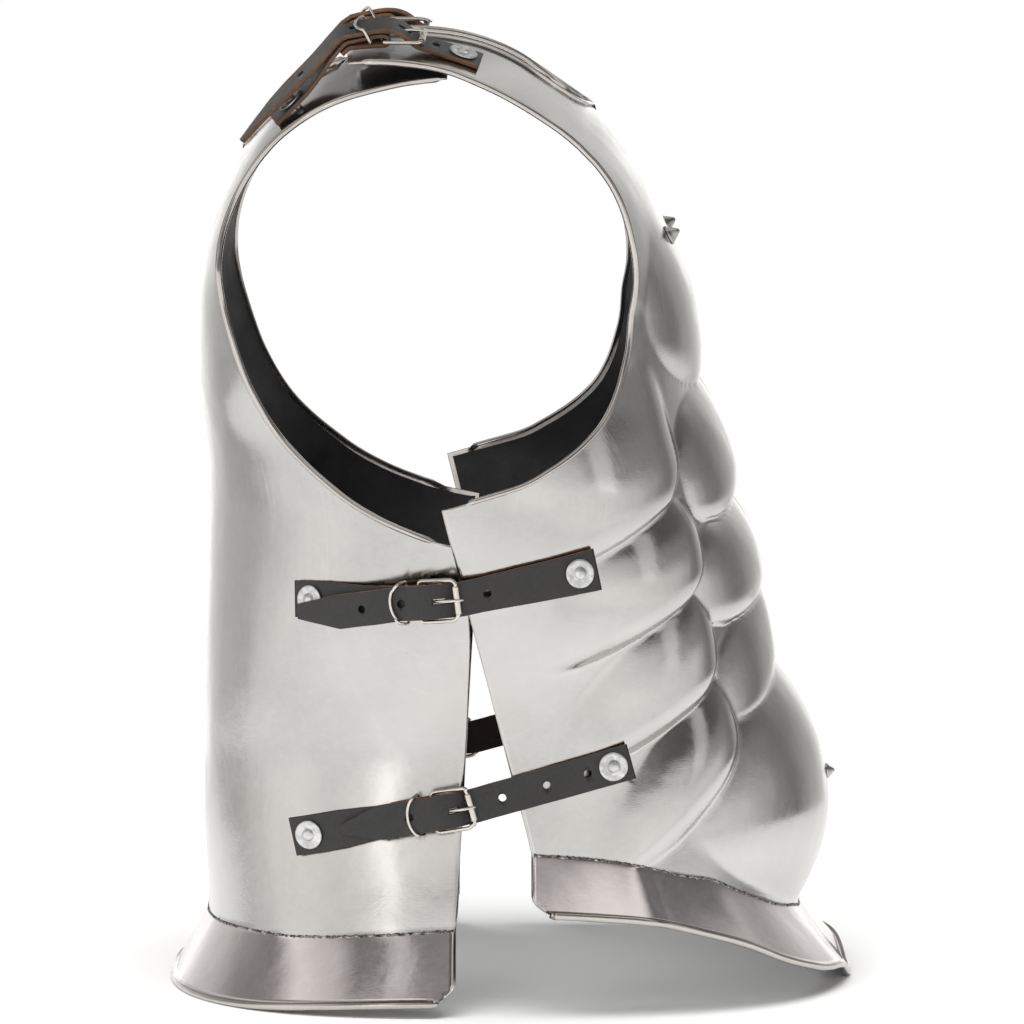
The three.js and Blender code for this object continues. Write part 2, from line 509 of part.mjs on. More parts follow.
// round wire through 3-D points; closed rings join their ends
function wire(points, radius, closed, sides = 6) {
  const n = points.length, verts = [], tris = [];
  let up = null;
  points.forEach((p, i) => {
    const a = points[closed ? (i + n - 1) % n : Math.max(i - 1, 0)], b = points[closed ? (i + 1) % n : Math.min(i + 1, n - 1)];
    const t = b.clone().sub(a).normalize();
    if (!up) up = Math.abs(t.z) < 0.8 ? new Vector3(0, 0, 1) : new Vector3(1, 0, 0);
    up = up.clone().addScaledVector(t, -up.dot(t)).normalize();
    const side = new Vector3().crossVectors(t, up);
    for (let k = 0; k < sides; k++) {
      const g = (k / sides) * 2 * Math.PI;
      verts.push(p.clone().addScaledVector(up, radius * Math.cos(g)).addScaledVector(side, radius * Math.sin(g)));
    }
  });
  let shift = 0;
  if (closed) {
    let best = 1e9;
    for (let k = 0; k < sides; k++) {
      const d = verts[(n - 1) * sides].distanceTo(verts[k]);
      if (d < best) { best = d; shift = k; }
    }
  }
  for (let i = 0; i < (closed ? n : n - 1); i++) for (let k = 0; k < sides; k++) {
    const wrap = i === n - 1, j = (i + 1) % n, s = wrap ? shift : 0;
    const a = i * sides + k, b = i * sides + (k + 1) % sides;
    const c = j * sides + (k + 1 + s) % sides, d = j * sides + (k + s) % sides;
    tris.push([a, b, c], [a, c, d]);
  }
  if (!closed) {
    for (let k = 1; k < sides - 1; k++) {
      tris.push([0, k + 1, k]);
      const e = (n - 1) * sides; tris.push([e, e + k, e + k + 1]);
    }
  }
  return outward(meshOf(verts, tris));
}
// turned piece on an axis: profile of [radius, height]
function turned(profile, origin, axis, sides = 12) {
  const g = new THREE.LatheGeometry(profile.map((p) => new Vector2(p[0], p[1])), sides);
  g.applyQuaternion(new THREE.Quaternion().setFromUnitVectors(new Vector3(0, 1, 0), axis));
  g.translate(origin.x, origin.y, origin.z);
  const s = fromSolid(toSolid(g));
  return outward(s);
}
const pegCutter = (origin, axis, radius, low, high, sides = 10) =>
  turned([[0, low], [radius, low], [radius, high], [0, high]], origin, axis, sides);

// lanes, on the wearer's left; the right side is the mirror image
const lanes = [
  { name: 'side_upper', path: [[43.5, -14.8], [-26.9, -29.6], [-58, -32], [-114, -42]],
    also: [[43.5, -14.8], [-26.9, -29.6], [-58, -32], [-112, -32.8]],
    bar: 91.4, front: 11, tip: 154, loopEnd: 157, loopHalf: 9.7, frontRivet: 9.4, loopRivet: 8.2, holes: [57.5, 99.9, 119.9],
    tail: [{ s: 34, h: 7.6 }, { s: 50, h: 6.2 }, { s: 90, h: 6.2 }] },
  { name: 'side_lower', path: [[62, -117.2], [-21.8, -140.6], [-56, -145.9], [-116, -158.9]],
    bar: 105.9, front: 9.4, tip: 154.7, loopEnd: 180.6, loopHalf: 10.2, frontRivet: 9.6, loopRivet: 8.8, holes: [23.3, 45.5, 69.5, 118.8],
    tail: [{ s: 34, h: 7.0 }, { s: 50, h: 5.2 }, { s: 90, h: 5.2 }] },
  { name: 'shoulder', shoulder: true, tilt: 20, path: [[-17, 96], [-128, 92]],
    bar: 50.5, front: 10, tip: 121, loopEnd: 107, loopHalf: 9.6, frontRivet: 9.5, loopRivet: 10, holes: [23.5, 65.5, 87.5],
    tail: [{ s: 34, h: 8.5 }, { s: 58, h: 8.3 }, { s: 90, h: 4.3 }] },
];
// height of the long strap's middle above the taut line, by distance past the buckle bar
const longRise = [
  { s: -200, h: 1.55 }, { s: -34, h: 1.55 }, { s: -24, h: 2.8 }, { s: -18.5, h: 3.4 }, { s: -15.5, h: 4.7 },
  { s: -11, h: 8.8 }, { s: -5.5, h: 11.3 }, { s: -1, h: 11.8 }, { s: 4, h: 11.6 }, { s: 9, h: 10.6 },
  { s: 16, h: 10.1 }, { s: 24, h: 9.5 },
];
const barH = 5.9, rollerH = 7.1, pitch = 19.5, frameHalf = 10.6;
// the short strap: over the bar, round it, and back underneath
const loopLine = [
  { s: 200, h: 1.9 }, { s: 40, h: 1.9 }, { s: 32, h: 3.4 }, { s: 25, h: 5.6 }, { s: 17, h: 6.5 }, { s: 11, h: 7.3 },
  { s: 6, h: 8.1 }, { s: 2.6, h: 8.65 }, { s: 0, h: 8.65 }, { s: -1.4, h: 8.3 }, { s: -2.4, h: 7.35 }, { s: -2.8, h: 5.9 },
  { s: -2.4, h: 4.45 }, { s: -1.4, h: 3.5 }, { s: 0, h: 3.15 }, { s: 8, h: 3.15 }, { s: 16, h: 3.15 }, { s: 21, h: 3.15 },
];
const holeR = 2.1;              // punched holes

const leather = { color: 0x2b2927, roughness: 0.62, metalness: 0.0 };
const steel = { color: 0xb9b5b0, roughness: 0.28, metalness: 1.0 };
const nickel = { color: 0xcfc8bf, roughness: 0.25, metalness: 1.0 };
const zinc = { color: 0xc4c4c2, roughness: 0.5, metalness: 0.9 };
const cuirass = new THREE.Group();
const pieces = [];
const addPiece = (name, geometry, look) => pieces.push({ name, geometry, look });
const plateHoles = { breast: [], back: [] };

function rivet(ln, s, w, strapTop, plateMesh, plateKey) {
  // stands square to the strap, through strap and plate, with a washer outside and a burr inside
  const o = ln.map(s, w, 0), n = ln.map(s, w, 1).sub(o).normalize();
  const hits = hitAt(o.clone().addScaledVector(n, 30), n.clone().negate(), [plateMesh]);
  const outerH = 30 - hits[0].distance, innerH = 30 - hits[1].distance;
  const w0 = strapTop + 0.5, w1 = w0 + washerT;
  const u = ln.map(s, w + 1, 0).sub(o).normalize(), t = new Vector3().crossVectors(n, u);
  let foot = innerH - 0.4;
  for (let k = 0; k < 8; k++) {
    const g = k * 45 * RAD, from = o.clone().addScaledVector(n, innerH - 25).addScaledVector(u, 3.9 * Math.cos(g)).addScaledVector(t, 3.9 * Math.sin(g));
    const h = hitAt(from, n, [plateMesh]);
    if (h) foot = Math.min(foot, innerH - 25 + h[0].distance - 0.35);
  }
  const body = turned([[0, foot - 1.2], [3.2, foot - 1.2], [3.8, foot], [rivetShankR, foot], [rivetShankR, w0],
    [washerR, w0], [washerR - 0.3, w1], [2.9, w1], [2.2, w1 + 1.1], [0, w1 + 1.7]], o, n, 12);
  plateHoles[plateKey].push(pegCutter(o, n, rivetHoleR, innerH - 3, outerH + 3, 8));
  return { body, hole: pegCutter(o, n, rivetHoleR, -4, w0 + 4, 8) };
}

for (const L of lanes) {
  const ln = lane({ ...L, reachW: 11 });
  const at = (d) => L.bar + d;
  const rise = runs([...longRise, ...L.tail], 's', 'h');
  // ---- long strap
  const marks = [];
  for (let s = 0; s < L.bar - 34; s += 8) marks.push(s);
  for (const d of [-34, -28, -23, -18.5, -14.5, -11.5, -8.5, -5.5, -3, 0, 3.5, 8, 13, 18, 24, 31, 39]) marks.push(at(d));
  for (let s = at(47); s < L.tip - 23; s += 8) marks.push(s);
  marks.push(L.tip - 20, L.tip - 10, L.tip);
  const longTip = L.tip;
  const halfLong = (s) => {
    const toTip = longTip - s;
    if (toTip < 20) return mix(2.2, 9, Math.max(toTip, 0) / 20);
    return s < L.bar - 30 ? mix(L.front, 9, s / (L.bar - 30)) : 9;
  };
  let long = ribbon(ln, marks.map((s) => [s, rise(s - L.bar)]), strapThick, (s, k) => halfLong(s));
  const holeTools = [];
  for (const s of L.holes) {
    const o = ln.map(s, 0, 0), n = ln.map(s, 0, 1).sub(o).normalize();
    holeTools.push(pegCutter(o, n, holeR, -2, 18, 8));
  }
  // slot where the prong comes up through the strap
  const slot = (s0, s1, h0, h1, w) => {
    const v = [];
    for (const [s, h] of [[s0, h0], [s1, h0], [s1, h1], [s0, h1]]) for (const k of [-w, w]) v.push(ln.map(s, k, h));
    const t = [];
    for (let k = 0; k < 4; k++) { const a = 2 * k, b = (2 * k + 2) % 8; t.push([a, b, b + 1], [a, b + 1, a + 1]); }
    t.push([0, 4, 2], [0, 6, 4], [1, 3, 5], [1, 5, 7]);
    return outward(meshOf(v, t));
  };
  holeTools.push(slot(at(-14.5), at(-7), 3, 15, 1.9));
  const riv1 = rivet(ln, L.frontRivet, 0, longRise[0].h + strapThick / 2, solidPlates[0], 'breast');
  holeTools.push(riv1.hole);
  long = cut(long, holeTools);
  // ---- short strap with its loop; at the sides it parts from the long strap's tail
  const loopLane = L.also ? lane({ ...L, path: L.also, also: L.path, reachW: 11 }) : ln;
  const low = loopLine.filter((p) => p.s < 45).map((p) => [at(p.s), p.h]);
  const run = [];
  for (let s = L.loopEnd; s > at(45); s -= 6) run.push([s, loopLine[0].h]);
  const halfLoop = (s) => (s > at(30) ? mix(8.7, L.loopHalf, Math.min((s - at(30)) / 20, 1)) : 8.7);
  let loop = ribbon(loopLane, [...run, ...low], loopThick, halfLoop);
  const riv2 = rivet(loopLane, L.loopEnd - L.loopRivet, 0, loopLine[0].h + loopThick / 2, solidPlates[1], 'back');
  loop = cut(loop, [riv2.hole, slot(at(-6), at(4), 1, 14, 1.9)]);
  // ---- buckle frame, roller, prong, keeper
  const ringPts = [];
  for (const [cs, cw, g0] of [[0, 1, 0], [-1, 1, 90], [-1, -1, 180], [0, -1, 270]]) {
    const rc = cs ? 3 : 1.8;
    for (const g of [0, 45, 90]) {
      const ang = (g0 + g) * RAD;
      const s = (cs ? -pitch + rc : -rc) + rc * Math.cos(ang), w = cw * (frameHalf - rc) + rc * Math.sin(ang);
      ringPts.push(ln.map(at(s), w, mix(barH, rollerH, -s / pitch)));
    }
  }
  const frame = wire(ringPts, wireR, true, 6);
  const rA = ln.map(at(-pitch), -7.2, rollerH), rB = ln.map(at(-pitch), 7.2, rollerH);
  const rAxis = rB.clone().sub(rA).normalize(), rLen = rA.distanceTo(rB);
  const roller = turned([[wireR + 0.32, 0], [rollerR, 0], [rollerR, rLen], [wireR + 0.32, rLen], [wireR + 0.32, 0]], rA, rAxis, 10);
  const prongPts = [];
  const eye = wireR + prongR + 0.3;
  for (const deg of [215, 250, 290, 330, 10, 50, 85]) prongPts.push(ln.map(at(eye * Math.cos(deg * RAD)), 0, barH + eye * Math.sin(deg * RAD)));
  const topRoll = rollerH + rollerR + prongR + 0.3;
  prongPts.push(ln.map(at(-4), 0, barH + eye), ln.map(at(-9), 0, mix(barH + eye, topRoll, 0.3)), ln.map(at(-14), 0, topRoll - 0.2),
    ln.map(at(-pitch), 0, topRoll), ln.map(at(-pitch - 2.6), 0, topRoll - 0.35));
  const prong = wire(prongPts, prongR, false, 6);
  const keepPts = [];
  for (const w of [-7, 0, 7]) keepPts.push(ln.map(at(6.6), w, 5.5));
  for (const deg of [0, 14, 28, 45, 67, 90, 113, 135, 152, 166, 180]) {
    const g = deg * RAD, lift = Math.min(1, Math.sin(g) / 0.42), d = 6.6 + 7 * Math.sin(g);
    keepPts.push(ln.map(at(d), 10.9 * Math.cos(g), mix(5.5, rise(d) + strapThick / 2 + keeperR + 0.65, lift)));
  }
  const keeper = wire(keepPts, keeperR, true, 6);
  for (const side of ['left', 'right']) {
    const put = (g) => (side === 'left' ? g : mirrored(g));
    const tag = `${L.name}_${side}`;
    addPiece(`${tag}_strap`, put(long), leather);
    addPiece(`${tag}_buckle_strap`, put(loop), leather);
    addPiece(`${tag}_buckle_frame`, put(frame), nickel);
    addPiece(`${tag}_roller`, put(roller), nickel);
    addPiece(`${tag}_prong`, put(prong), nickel);
    addPiece(`${tag}_keeper`, put(keeper), nickel);
    addPiece(`${tag}_front_rivet`, put(riv1.body), zinc);
    addPiece(`${tag}_back_rivet`, put(riv2.body), zinc);
  }
}

// ---------------------------------------------------------------- studs
function stud(v, angle, radius, height) {
  const a = angle * RAD, p = breastSkin.point(v, a);
  const n = breastSkin.point(v, a + 0.02).sub(breastSkin.point(v, a - 0.02)).cross(breastSkin.point(v + 2, a).sub(breastSkin.point(v - 2, a))).normalize();
  const hits = hitAt(p.clone().addScaledVector(n, 30), n.clone().negate(), [solidPlates[0]]);
  const top = 30 - hits[0].distance, under = 30 - hits[1].distance, foot = under - 0.75;
  plateHoles.breast.push(pegCutter(p, n, 1.9, under - 3, top + 3, 8));
  const base = top + 0.3;
  return turned([[0, foot - 1], [3, foot - 1], [3, foot], [1.5, foot], [1.5, base], [radius, base], [radius * 0.93, base + 0.9],
    [radius * 0.62, base + height * 0.45], [radius * 0.22, base + height * 0.93], [0, base + height]], p, n, 8);
}
const nippleAngle = 21.5;
const nipple = stud(40, nippleAngle, 5.4, 6.5);
const navel = stud(-257, 0, 4.2, 4.6);
plateHoles.breast = [...plateHoles.breast, ...plateHoles.breast.map((g) => mirrored(g))];
plateHoles.back = [...plateHoles.back, ...plateHoles.back.map((g) => mirrored(g))];
breast = cut(breast, plateHoles.breast);
back = cut(back, plateHoles.back);

addPiece('breast_plate', breast, steel);
addPiece('back_plate', back, steel);
addPiece('nipple_stud_left', nipple, nickel);
addPiece('nipple_stud_right', mirrored(nipple), nickel);
addPiece('navel_stud', navel, nickel);

// ---------------------------------------------------------------- assembly
const box = new THREE.Box3();
for (const p of pieces) { p.geometry.computeBoundingBox(); box.union(p.geometry.boundingBox); }
const midY = (box.min.y + box.max.y) / 2;
for (const p of pieces) {
  const mesh = new THREE.Mesh(p.geometry, new THREE.MeshStandardMaterial(p.look));
  mesh.name = p.name;
  p.geometry.translate(0, -midY, 0);
  cuirass.add(mesh);
}

cuirass.userData.datum = [0, midY, datumZ];

export default cuirass;
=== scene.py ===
# Looks for a steel muscle cuirass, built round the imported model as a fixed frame.
import math
import bpy
import numpy as np
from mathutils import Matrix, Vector, noise
from mathutils.bvhtree import BVHTree


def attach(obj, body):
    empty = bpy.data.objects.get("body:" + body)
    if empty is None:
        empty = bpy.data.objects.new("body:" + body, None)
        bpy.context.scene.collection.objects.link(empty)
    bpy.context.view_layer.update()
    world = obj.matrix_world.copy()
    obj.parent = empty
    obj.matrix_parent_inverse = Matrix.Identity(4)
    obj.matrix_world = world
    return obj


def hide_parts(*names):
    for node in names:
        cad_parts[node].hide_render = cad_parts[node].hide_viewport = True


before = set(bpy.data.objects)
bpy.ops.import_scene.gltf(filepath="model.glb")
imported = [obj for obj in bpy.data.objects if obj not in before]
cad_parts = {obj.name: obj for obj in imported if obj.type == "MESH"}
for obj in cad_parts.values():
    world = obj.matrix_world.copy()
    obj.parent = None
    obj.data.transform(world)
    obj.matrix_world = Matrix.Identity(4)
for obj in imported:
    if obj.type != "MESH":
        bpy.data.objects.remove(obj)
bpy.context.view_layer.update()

RAD = math.pi / 180
MM = 0.001

# ------------------------------------------------------------------ sizes (mm)
SHEET = 1.2
ARM_F, ARM_H, SWEEP = -44.0, 115.0, 140.0
ARM_BEAD, NECK_BEAD, HEM_BEAD, HEM_REST = 1.8, 2.4, 2.2, 1.3
DATUM_Z = 247 + HEM_REST
STRAP_T, LOOP_T = 2.4, 2.2
WIRE_R, ROLLER_R, KEEPER_R, PRONG_R = 1.1, 1.9, 0.8, 0.8
WASHER_R, WASHER_T, SHANK_R = 7.6, 1.1, 2.0

# v | reach | seat | half | square
BREAST = [
    (-345, 197.0, 66.0, 170, 2.30), (-326, 197.4, 61.0, 166, 2.30), (-282, 197.0, 54.5, 159, 2.28),
    (-239, 193.5, 43.5, 155, 2.26), (-193, 179.2, 31.8, 160, 2.26), (-141, 168.3, 18.6, 175, 2.28),
    (-98, 156.3, 7.7, 185, 2.30), (-49, 143.2, -4.7, 187, 2.30), (-22, 140.0, -11.6, 187, 2.35),
    (0, 136.5, -17, 189, 2.40), (17, 133.4, -16, 200, 2.40), (49, 131.2, -13, 227, 2.30),
    (85, 131.6, -8, 253, 2.15), (123, 134.5, -3, 247, 2.0), (141, 138, 0, 226, 2.0), (173, 144, 0, 214, 2.0),
    (196, 146, 0, 221, 2.0), (220, 147, 0, 239, 2.0), (263, 149.7, 0, 282, 2.0)]
BACK = [
    (-345, 119.0, -10, 172, 2.6), (-318, 119.2, -14.8, 166, 2.6), (-280, 120.9, -16.9, 157, 2.6),
    (-240, 120.9, -19.2, 152, 2.6), (-200, 120.9, -21.4, 156, 2.6), (-160, 120.6, -23.6, 167, 2.4),
    (-120, 119.4, -25.7, 178, 2.15), (-99, 119.4, -26.9, 182, 2.1), (-84, 119.5, -27.7, 182, 2.2),
    (-64, 121.0, -28.8, 182, 2.35), (-38, 123.5, -30.2, 182, 2.8), (0, 123.9, -32, 182, 3.4),
    (10, 123.6, -32, 183, 3.5), (29, 122.7, -28, 195, 3.6), (49, 123.4, -22, 196, 3.5), (88, 127.7, -10, 198, 3.0),
    (122, 133.0, -5, 218, 2.4), (141, 137.0, -3, 212, 2.2), (159, 141, 0, 220, 2.0), (183, 143.5, 0, 205, 2.0),
    (220, 144.9, 0, 203.7, 2.0), (234, 145, 0, 213, 2.0)]
# drop below the axis (d) or sweep angle above it (s), reach
BREAST_ARM = [("d", 98.1, 8.3), ("d", 91.8, 30.5), ("d", 86.5, 48.1), ("d", 78.2, 63.7), ("d", 60.9, 84.6),
              ("d", 38.6, 97.8), ("d", 13.3, 104.8), ("s", 6.8, 108.7), ("s", 20.2, 112.8), ("s", 33.9, 116.3),
              ("s", 47.1, 117.1), ("s", 60, 117.6), ("s", 71.8, 120.5), ("s", 79.5, 123.4), ("s", 85, 126.1),
              ("s", 97.7, 131.5), ("s", 107.6, 136.2)]
BACK_ARM = [("d", 120, -27), ("d", 117.4, -12.4), ("d", 109, 14.1), ("d", 99, 34.9), ("d", 83.9, 55.9),
            ("d", 63.7, 76.9), ("d", 38.4, 92.8), ("d", 12.8, 102.5), ("s", 4.1, 108.2), ("s", 11.9, 112.1),
            ("s", 19.6, 115), ("s", 30.2, 117.7), ("s", 39.4, 119.3), ("s", 50.2, 120.9), ("s", 58.1, 121.1),
            ("s", 64.7, 121), ("s", 71.8, 120.4), ("s", 78.2, 120.2), ("s", 84.4, 121), ("s", 94.6, 123.4)]
BREAST_NECK = [(123, 0), (124.5, 9), (127.5, 15.5), (132, 20.6), (141.5, 24.8), (158, 26.6), (173, 25.5),
               (197, 24), (220, 23.6), (262, 23)]
BACK_NECK = [(98, 0), (99.5, 8.5), (102.5, 14.5), (108, 19), (118, 22.5), (132, 24.5), (158, 25), (190, 24.5), (234, 24)]
# angle | seam | fall | flare
BREAST_HEM = [(0, -326, 36.2, 27), (9, -325.4, 36.7, 27), (20, -322, 31.5, 27), (36, -316, 32.2, 27),
              (48, -306, 32.3, 27), (55, -298, 31, 26.5), (62, -294, 27.5, 26.5), (70, -288, 26.4, 26),
              (78, -284, 27.4, 26), (90, -281, 28, 26)]
BACK_HEM = [(0, -327, 35, 19), (30, -326, 36, 19.5), (48, -325.5, 36.5, 20), (60, -325.5, 35, 20),
            (70, -324, 34, 20), (80, -322, 34.5, 20), (90, -320, 36, 20)]
# angle, v, inner, outer, up, down, slope, height, square, rimA, rimUp, rimDown
MUSCLES = [
    (20, -8, 20.5, 24, 78, 34, 0.25, 8.0, 2.5, 0.8, 2.0, 0.50),
    (19, -86, 19.5, 22.5, 46, 22, -0.42, 12.8, 3.0, 0.60, 0.92, 0.48),
    (20, -141, 20.5, 25, 38, 20, -0.42, 12.0, 3.1, 0.60, 0.92, 0.48),
    (21, -186, 21.5, 23, 36, 21, -1.0, 10.5, 2.8, 0.60, 0.92, 0.48),
    (0, -268, 60, 60, 80, 56, 0, 18, 1.9, 0.95, 0.70, 1.1),
    (51, -84, 11, 34, 62, 21, -1.45, 9.5, 2.3, 0.9, 1.3, 0.48),
    (51, -139, 11, 32, 40, 16, -1.45, 13.0, 2.3, 0.85, 0.95, 0.46),
    (51, -192, 11, 30, 40, 16, -1.5, 13.0, 2.3, 0.85, 0.95, 0.46),
    (51, -240, 12.5, 27, 38, 17, -2.0, 12.0, 2.3, 0.85, 0.95, 0.55)]
BREAST_ROWS = (
    [262, 233, 205, 180, 158, 144, 134, 127.5, 123, 108, 92, 76, 60, 44, 28, 12, -3, -17, -29, -38, -46, -57, -71, -85, -97, -108],
    [263, 236, 210, 184, 160, 145, 131, 117, 103, 90, 74, 58, 42, 26, 10, -5, -19, -33, -45, -56, -66, -75, -83, -89, -94, -98.1], 9)
BACK_ROWS = (
    [232, 204, 178, 152, 132, 116, 105, 98, 82, 64, 46, 26, 6, -16, -38, -60, -80, -98, -112, -124],
    [231, 205, 180, 156, 138, 121, 106, 92, 76, 57, 37, 16, -8, -32, -54, -76, -94, -108, -116, -120], 8)


def curve(x, y):
    """Smooth curve through a table."""
    x, y = np.array(x, float), np.array(y, float)
    o = np.argsort(x)
    x, y = x[o], y[o]
    h = np.diff(x)
    d = np.diff(y) / h
    m = np.empty(len(x))
    m[0], m[-1] = d[0], d[-1]
    m[1:-1] = (d[:-1] * h[1:] + d[1:] * h[:-1]) / (h[1:] + h[:-1])

    def f(s):
        s = np.clip(np.asarray(s, float), x[0], x[-1])
        i = np.clip(np.searchsorted(x, s, side="right") - 1, 0, len(x) - 2)
        t = (s - x[i]) / h[i]
        t2, t3 = t * t, t * t * t
        return ((2 * t3 - 3 * t2 + 1) * y[i] + (t3 - 2 * t2 + t) * h[i] * m[i]
                + (3 * t2 - 2 * t3) * y[i + 1] + (t3 - t2) * h[i] * m[i + 1])
    return f


def unit(p):
    return p / (np.linalg.norm(p, axis=-1, keepdims=True) + 1e-12)


def smooth_max(a, b, k):
    return np.maximum(a, b) + np.maximum(k - np.abs(a - b), 0) ** 2 / (4 * k)


def relief(angle, v):
    """Embossed muscles, in mm above the bare skin."""
    best = np.zeros(np.broadcast(angle, v).shape)
    for am, vm, inner, outer, up, down, slope, height, sq, ra, ru, rd in MUSCLES:
        da = angle - am
        dv = v - vm - slope * da
        na = np.abs(da) / np.where(da < 0, inner, outer)
        nv = np.abs(dv) / np.where(dv > 0, up, down)
        r = (na ** sq + nv ** sq) ** (1 / sq)
        wa = na * na / (na * na + nv * nv + 1e-9)
        rim = (1 - wa) * np.where(dv > 0, ru, rd) + wa * (ra + (0.7 * (da > 0) if am > 40 else 0))
        b = height * np.clip(1 - r * r, 1e-6, 1) ** rim
        b = np.where(r < 1, b, 0)
        best = smooth_max(best, b, 1.3)
    return best - 0.4 * (best < 1e-9)


class Skin:
    def __init__(self, rows, arm, neck, hem, sign, neck_stop, emboss):
        t = np.array(rows, float)
        self.reach, self.seat = curve(t[:, 0], t[:, 1]), curve(t[:, 0], t[:, 2])
        self.half, self.square = curve(t[:, 0], t[:, 3]), curve(t[:, 0], t[:, 4])
        self.sign, self.neck_stop, self.emboss = sign, neck_stop, emboss
        ev, ea = [], []
        for kind, q, r in arm:
            v = -q if kind == "d" else q * RAD * SWEEP
            lo, hi = 0.0, math.pi / 2
            for _ in range(40):
                m = (lo + hi) / 2
                if self.section(v, m)[1] > r:
                    lo = m
                else:
                    hi = m
            ev.append(v)
            ea.append((lo + hi) / 2)
        self.corner = ev[0]
        arm_curve = curve(ev, ea)
        self.arm_angle = lambda v: np.where(np.asarray(v) <= self.corner, math.pi / 2, arm_curve(v))
        n = np.array(neck, float)
        neck_curve = curve(n[:, 0], n[:, 1])
        self.neck_angle = lambda v: neck_curve(v) * RAD
        h = np.array(hem, float)
        self.seam, self.fall, self.flare = curve(h[:, 0], h[:, 1]), curve(h[:, 0], h[:, 2]), curve(h[:, 0], h[:, 3])

    def section(self, v, a):
        b = self.reach(v) - self.seat(v)
        w, n = self.half(v), self.square(v)
        s, c = np.abs(np.sin(a)), np.abs(np.cos(a))
        r = ((s / w) ** n + (c / b) ** n) ** (-1 / n)
        return r * np.sin(a), self.seat(v) + r * np.cos(a)

    def bare(self, v, a):
        v = np.asarray(v, float)
        x, r = self.section(v, a)
        t = np.maximum(v, 0) / SWEEP
        return np.stack([x, -(ARM_F + self.sign * r * np.cos(t)), ARM_H + np.minimum(v, 0) + r * np.sin(t) + DATUM_Z], -1)

    def normal(self, v, a, e=0.02, k=0.9):
        da = self.bare(v, a + e) - self.bare(v, a - e)
        dv = self.bare(v + k, a) - self.bare(v - k, a)
        return unit(np.cross(da, dv)) * self.sign

    def point(self, v, a):
        v, a = np.broadcast_arrays(np.asarray(v, float), np.asarray(a, float))
        p = self.bare(v, a)
        if self.emboss:
            p = p + self.normal(v, a) * relief(np.abs(a) / RAD, v)[..., None]
        return p


breast_skin = Skin(BREAST, BREAST_ARM, BREAST_NECK, BREAST_HEM, 1, 255, True)
back_skin = Skin(BACK, BACK_ARM, BACK_NECK, BACK_HEM, -1, 170, False)


# ------------------------------------------------------------------ plates
def refine(values, parts):
    out = []
    for i in range(len(values) - 1):
        for k in range(parts[i]):
            out.append(values[i] + (values[i + 1] - values[i]) * k / parts[i])
    out.append(values[-1])
    return out


def plate(skin, rows3, lower_n, flange_n, cols, row_step):
    """Skin grid of a plate.  Returns verts (n, 3), quads (m, 4), and per vertex row kind data."""
    mids, edges, necks = rows3
    parts = [max(1, int(round(abs(mids[i] - mids[i + 1]) / row_step(mids[i])))) for i in range(len(mids) - 1)]
    neck_rows = sum(parts[:necks - 1]) + 1
    mid, edge = refine(mids, parts), refine(edges, parts)
    cols = np.asarray(cols, float)
    grid, info = [], []
    for i, (m, e) in enumerate(zip(mid, edge)):
        is_neck = i < neck_rows
        a0 = float(skin.neck_angle(m)) if is_neck else 0.0
        a1 = float(skin.arm_angle(e))
        grid.append(skin.point(m + (e - m) * cols, a0 + (a1 - a0) * cols))
        info.append(dict(neck=is_neck, bead=skin.corner + 4 < e < edges[0] - 6, neck_bead=m < skin.neck_stop, hem=False, flange=False))
    for q in np.arange(1, lower_n + 1) / lower_n:
        a = cols * math.pi / 2
        v0 = mid[-1] + (edge[-1] - mid[-1]) * cols
        grid.append(skin.point(v0 + (skin.seam(a / RAD) - v0) * q, a))
        info.append(dict(neck=False, bead=False, neck_bead=False, hem=False, flange=False))
    for w in (np.arange(1, flange_n + 1) / flange_n) ** 1.1:
        trim = 90 - 3.5 * max(0, (w - 0.7) / 0.3) ** 2
        deg = np.minimum(cols * 90, trim)
        a = deg * RAD
        v = skin.seam(deg)
        p = skin.point(v, a)
        t = skin.bare(v, a + 0.01) - skin.bare(v, a - 0.01)
        t[..., 2] = 0
        t = unit(t)
        out = np.stack([t[..., 1], -t[..., 0], 0 * t[..., 0]], -1) * skin.sign
        p = p + out * (skin.flare(deg) * w ** 1.12)[..., None]
        p[..., 2] = ARM_H + v + DATUM_Z - skin.fall(deg) * w
        last = w > 0.999
        if last:
            p[..., 2] = np.maximum(p[..., 2], HEM_REST)
        grid.append(p)
        info.append(dict(neck=False, bead=False, neck_bead=False, hem=last, flange=True))
    G = np.array(grid)
    n, m = G.shape[:2]
    verts = [G.reshape(-1, 3)]
    idx = np.arange(n * m).reshape(n, m)
    other = G.copy()
    other[..., 0] *= -1
    verts.append(other.reshape(-1, 3))
    idx2 = idx + n * m
    V = np.concatenate(verts)
    row_of = np.concatenate([np.repeat(np.arange(n), m)] * 2)
    col_of = np.concatenate([np.tile(np.arange(m), n)] * 2)
    for i in range(n):
        if not info[i]["neck"]:
            V[idx[i, 0], 0] = 0
            idx2[i, 0] = idx[i, 0]
    quads, kind = [], []
    for g, s in ((idx, 0), (idx2, 1)):
        a, b, c, d = g[:-1, :-1], g[:-1, 1:], g[1:, 1:], g[1:, :-1]
        flip = (s == 1) != (skin.sign < 0)
        q = np.stack([a, b, c, d] if flip else [a, d, c, b], -1).reshape(-1, 4)
        quads.append(q)
        kind.append(np.repeat(np.array([1 if info[i + 1]["flange"] else 0 for i in range(n - 1)]), m - 1))
    return V, np.concatenate(quads), np.concatenate(kind), row_of, col_of, info, m


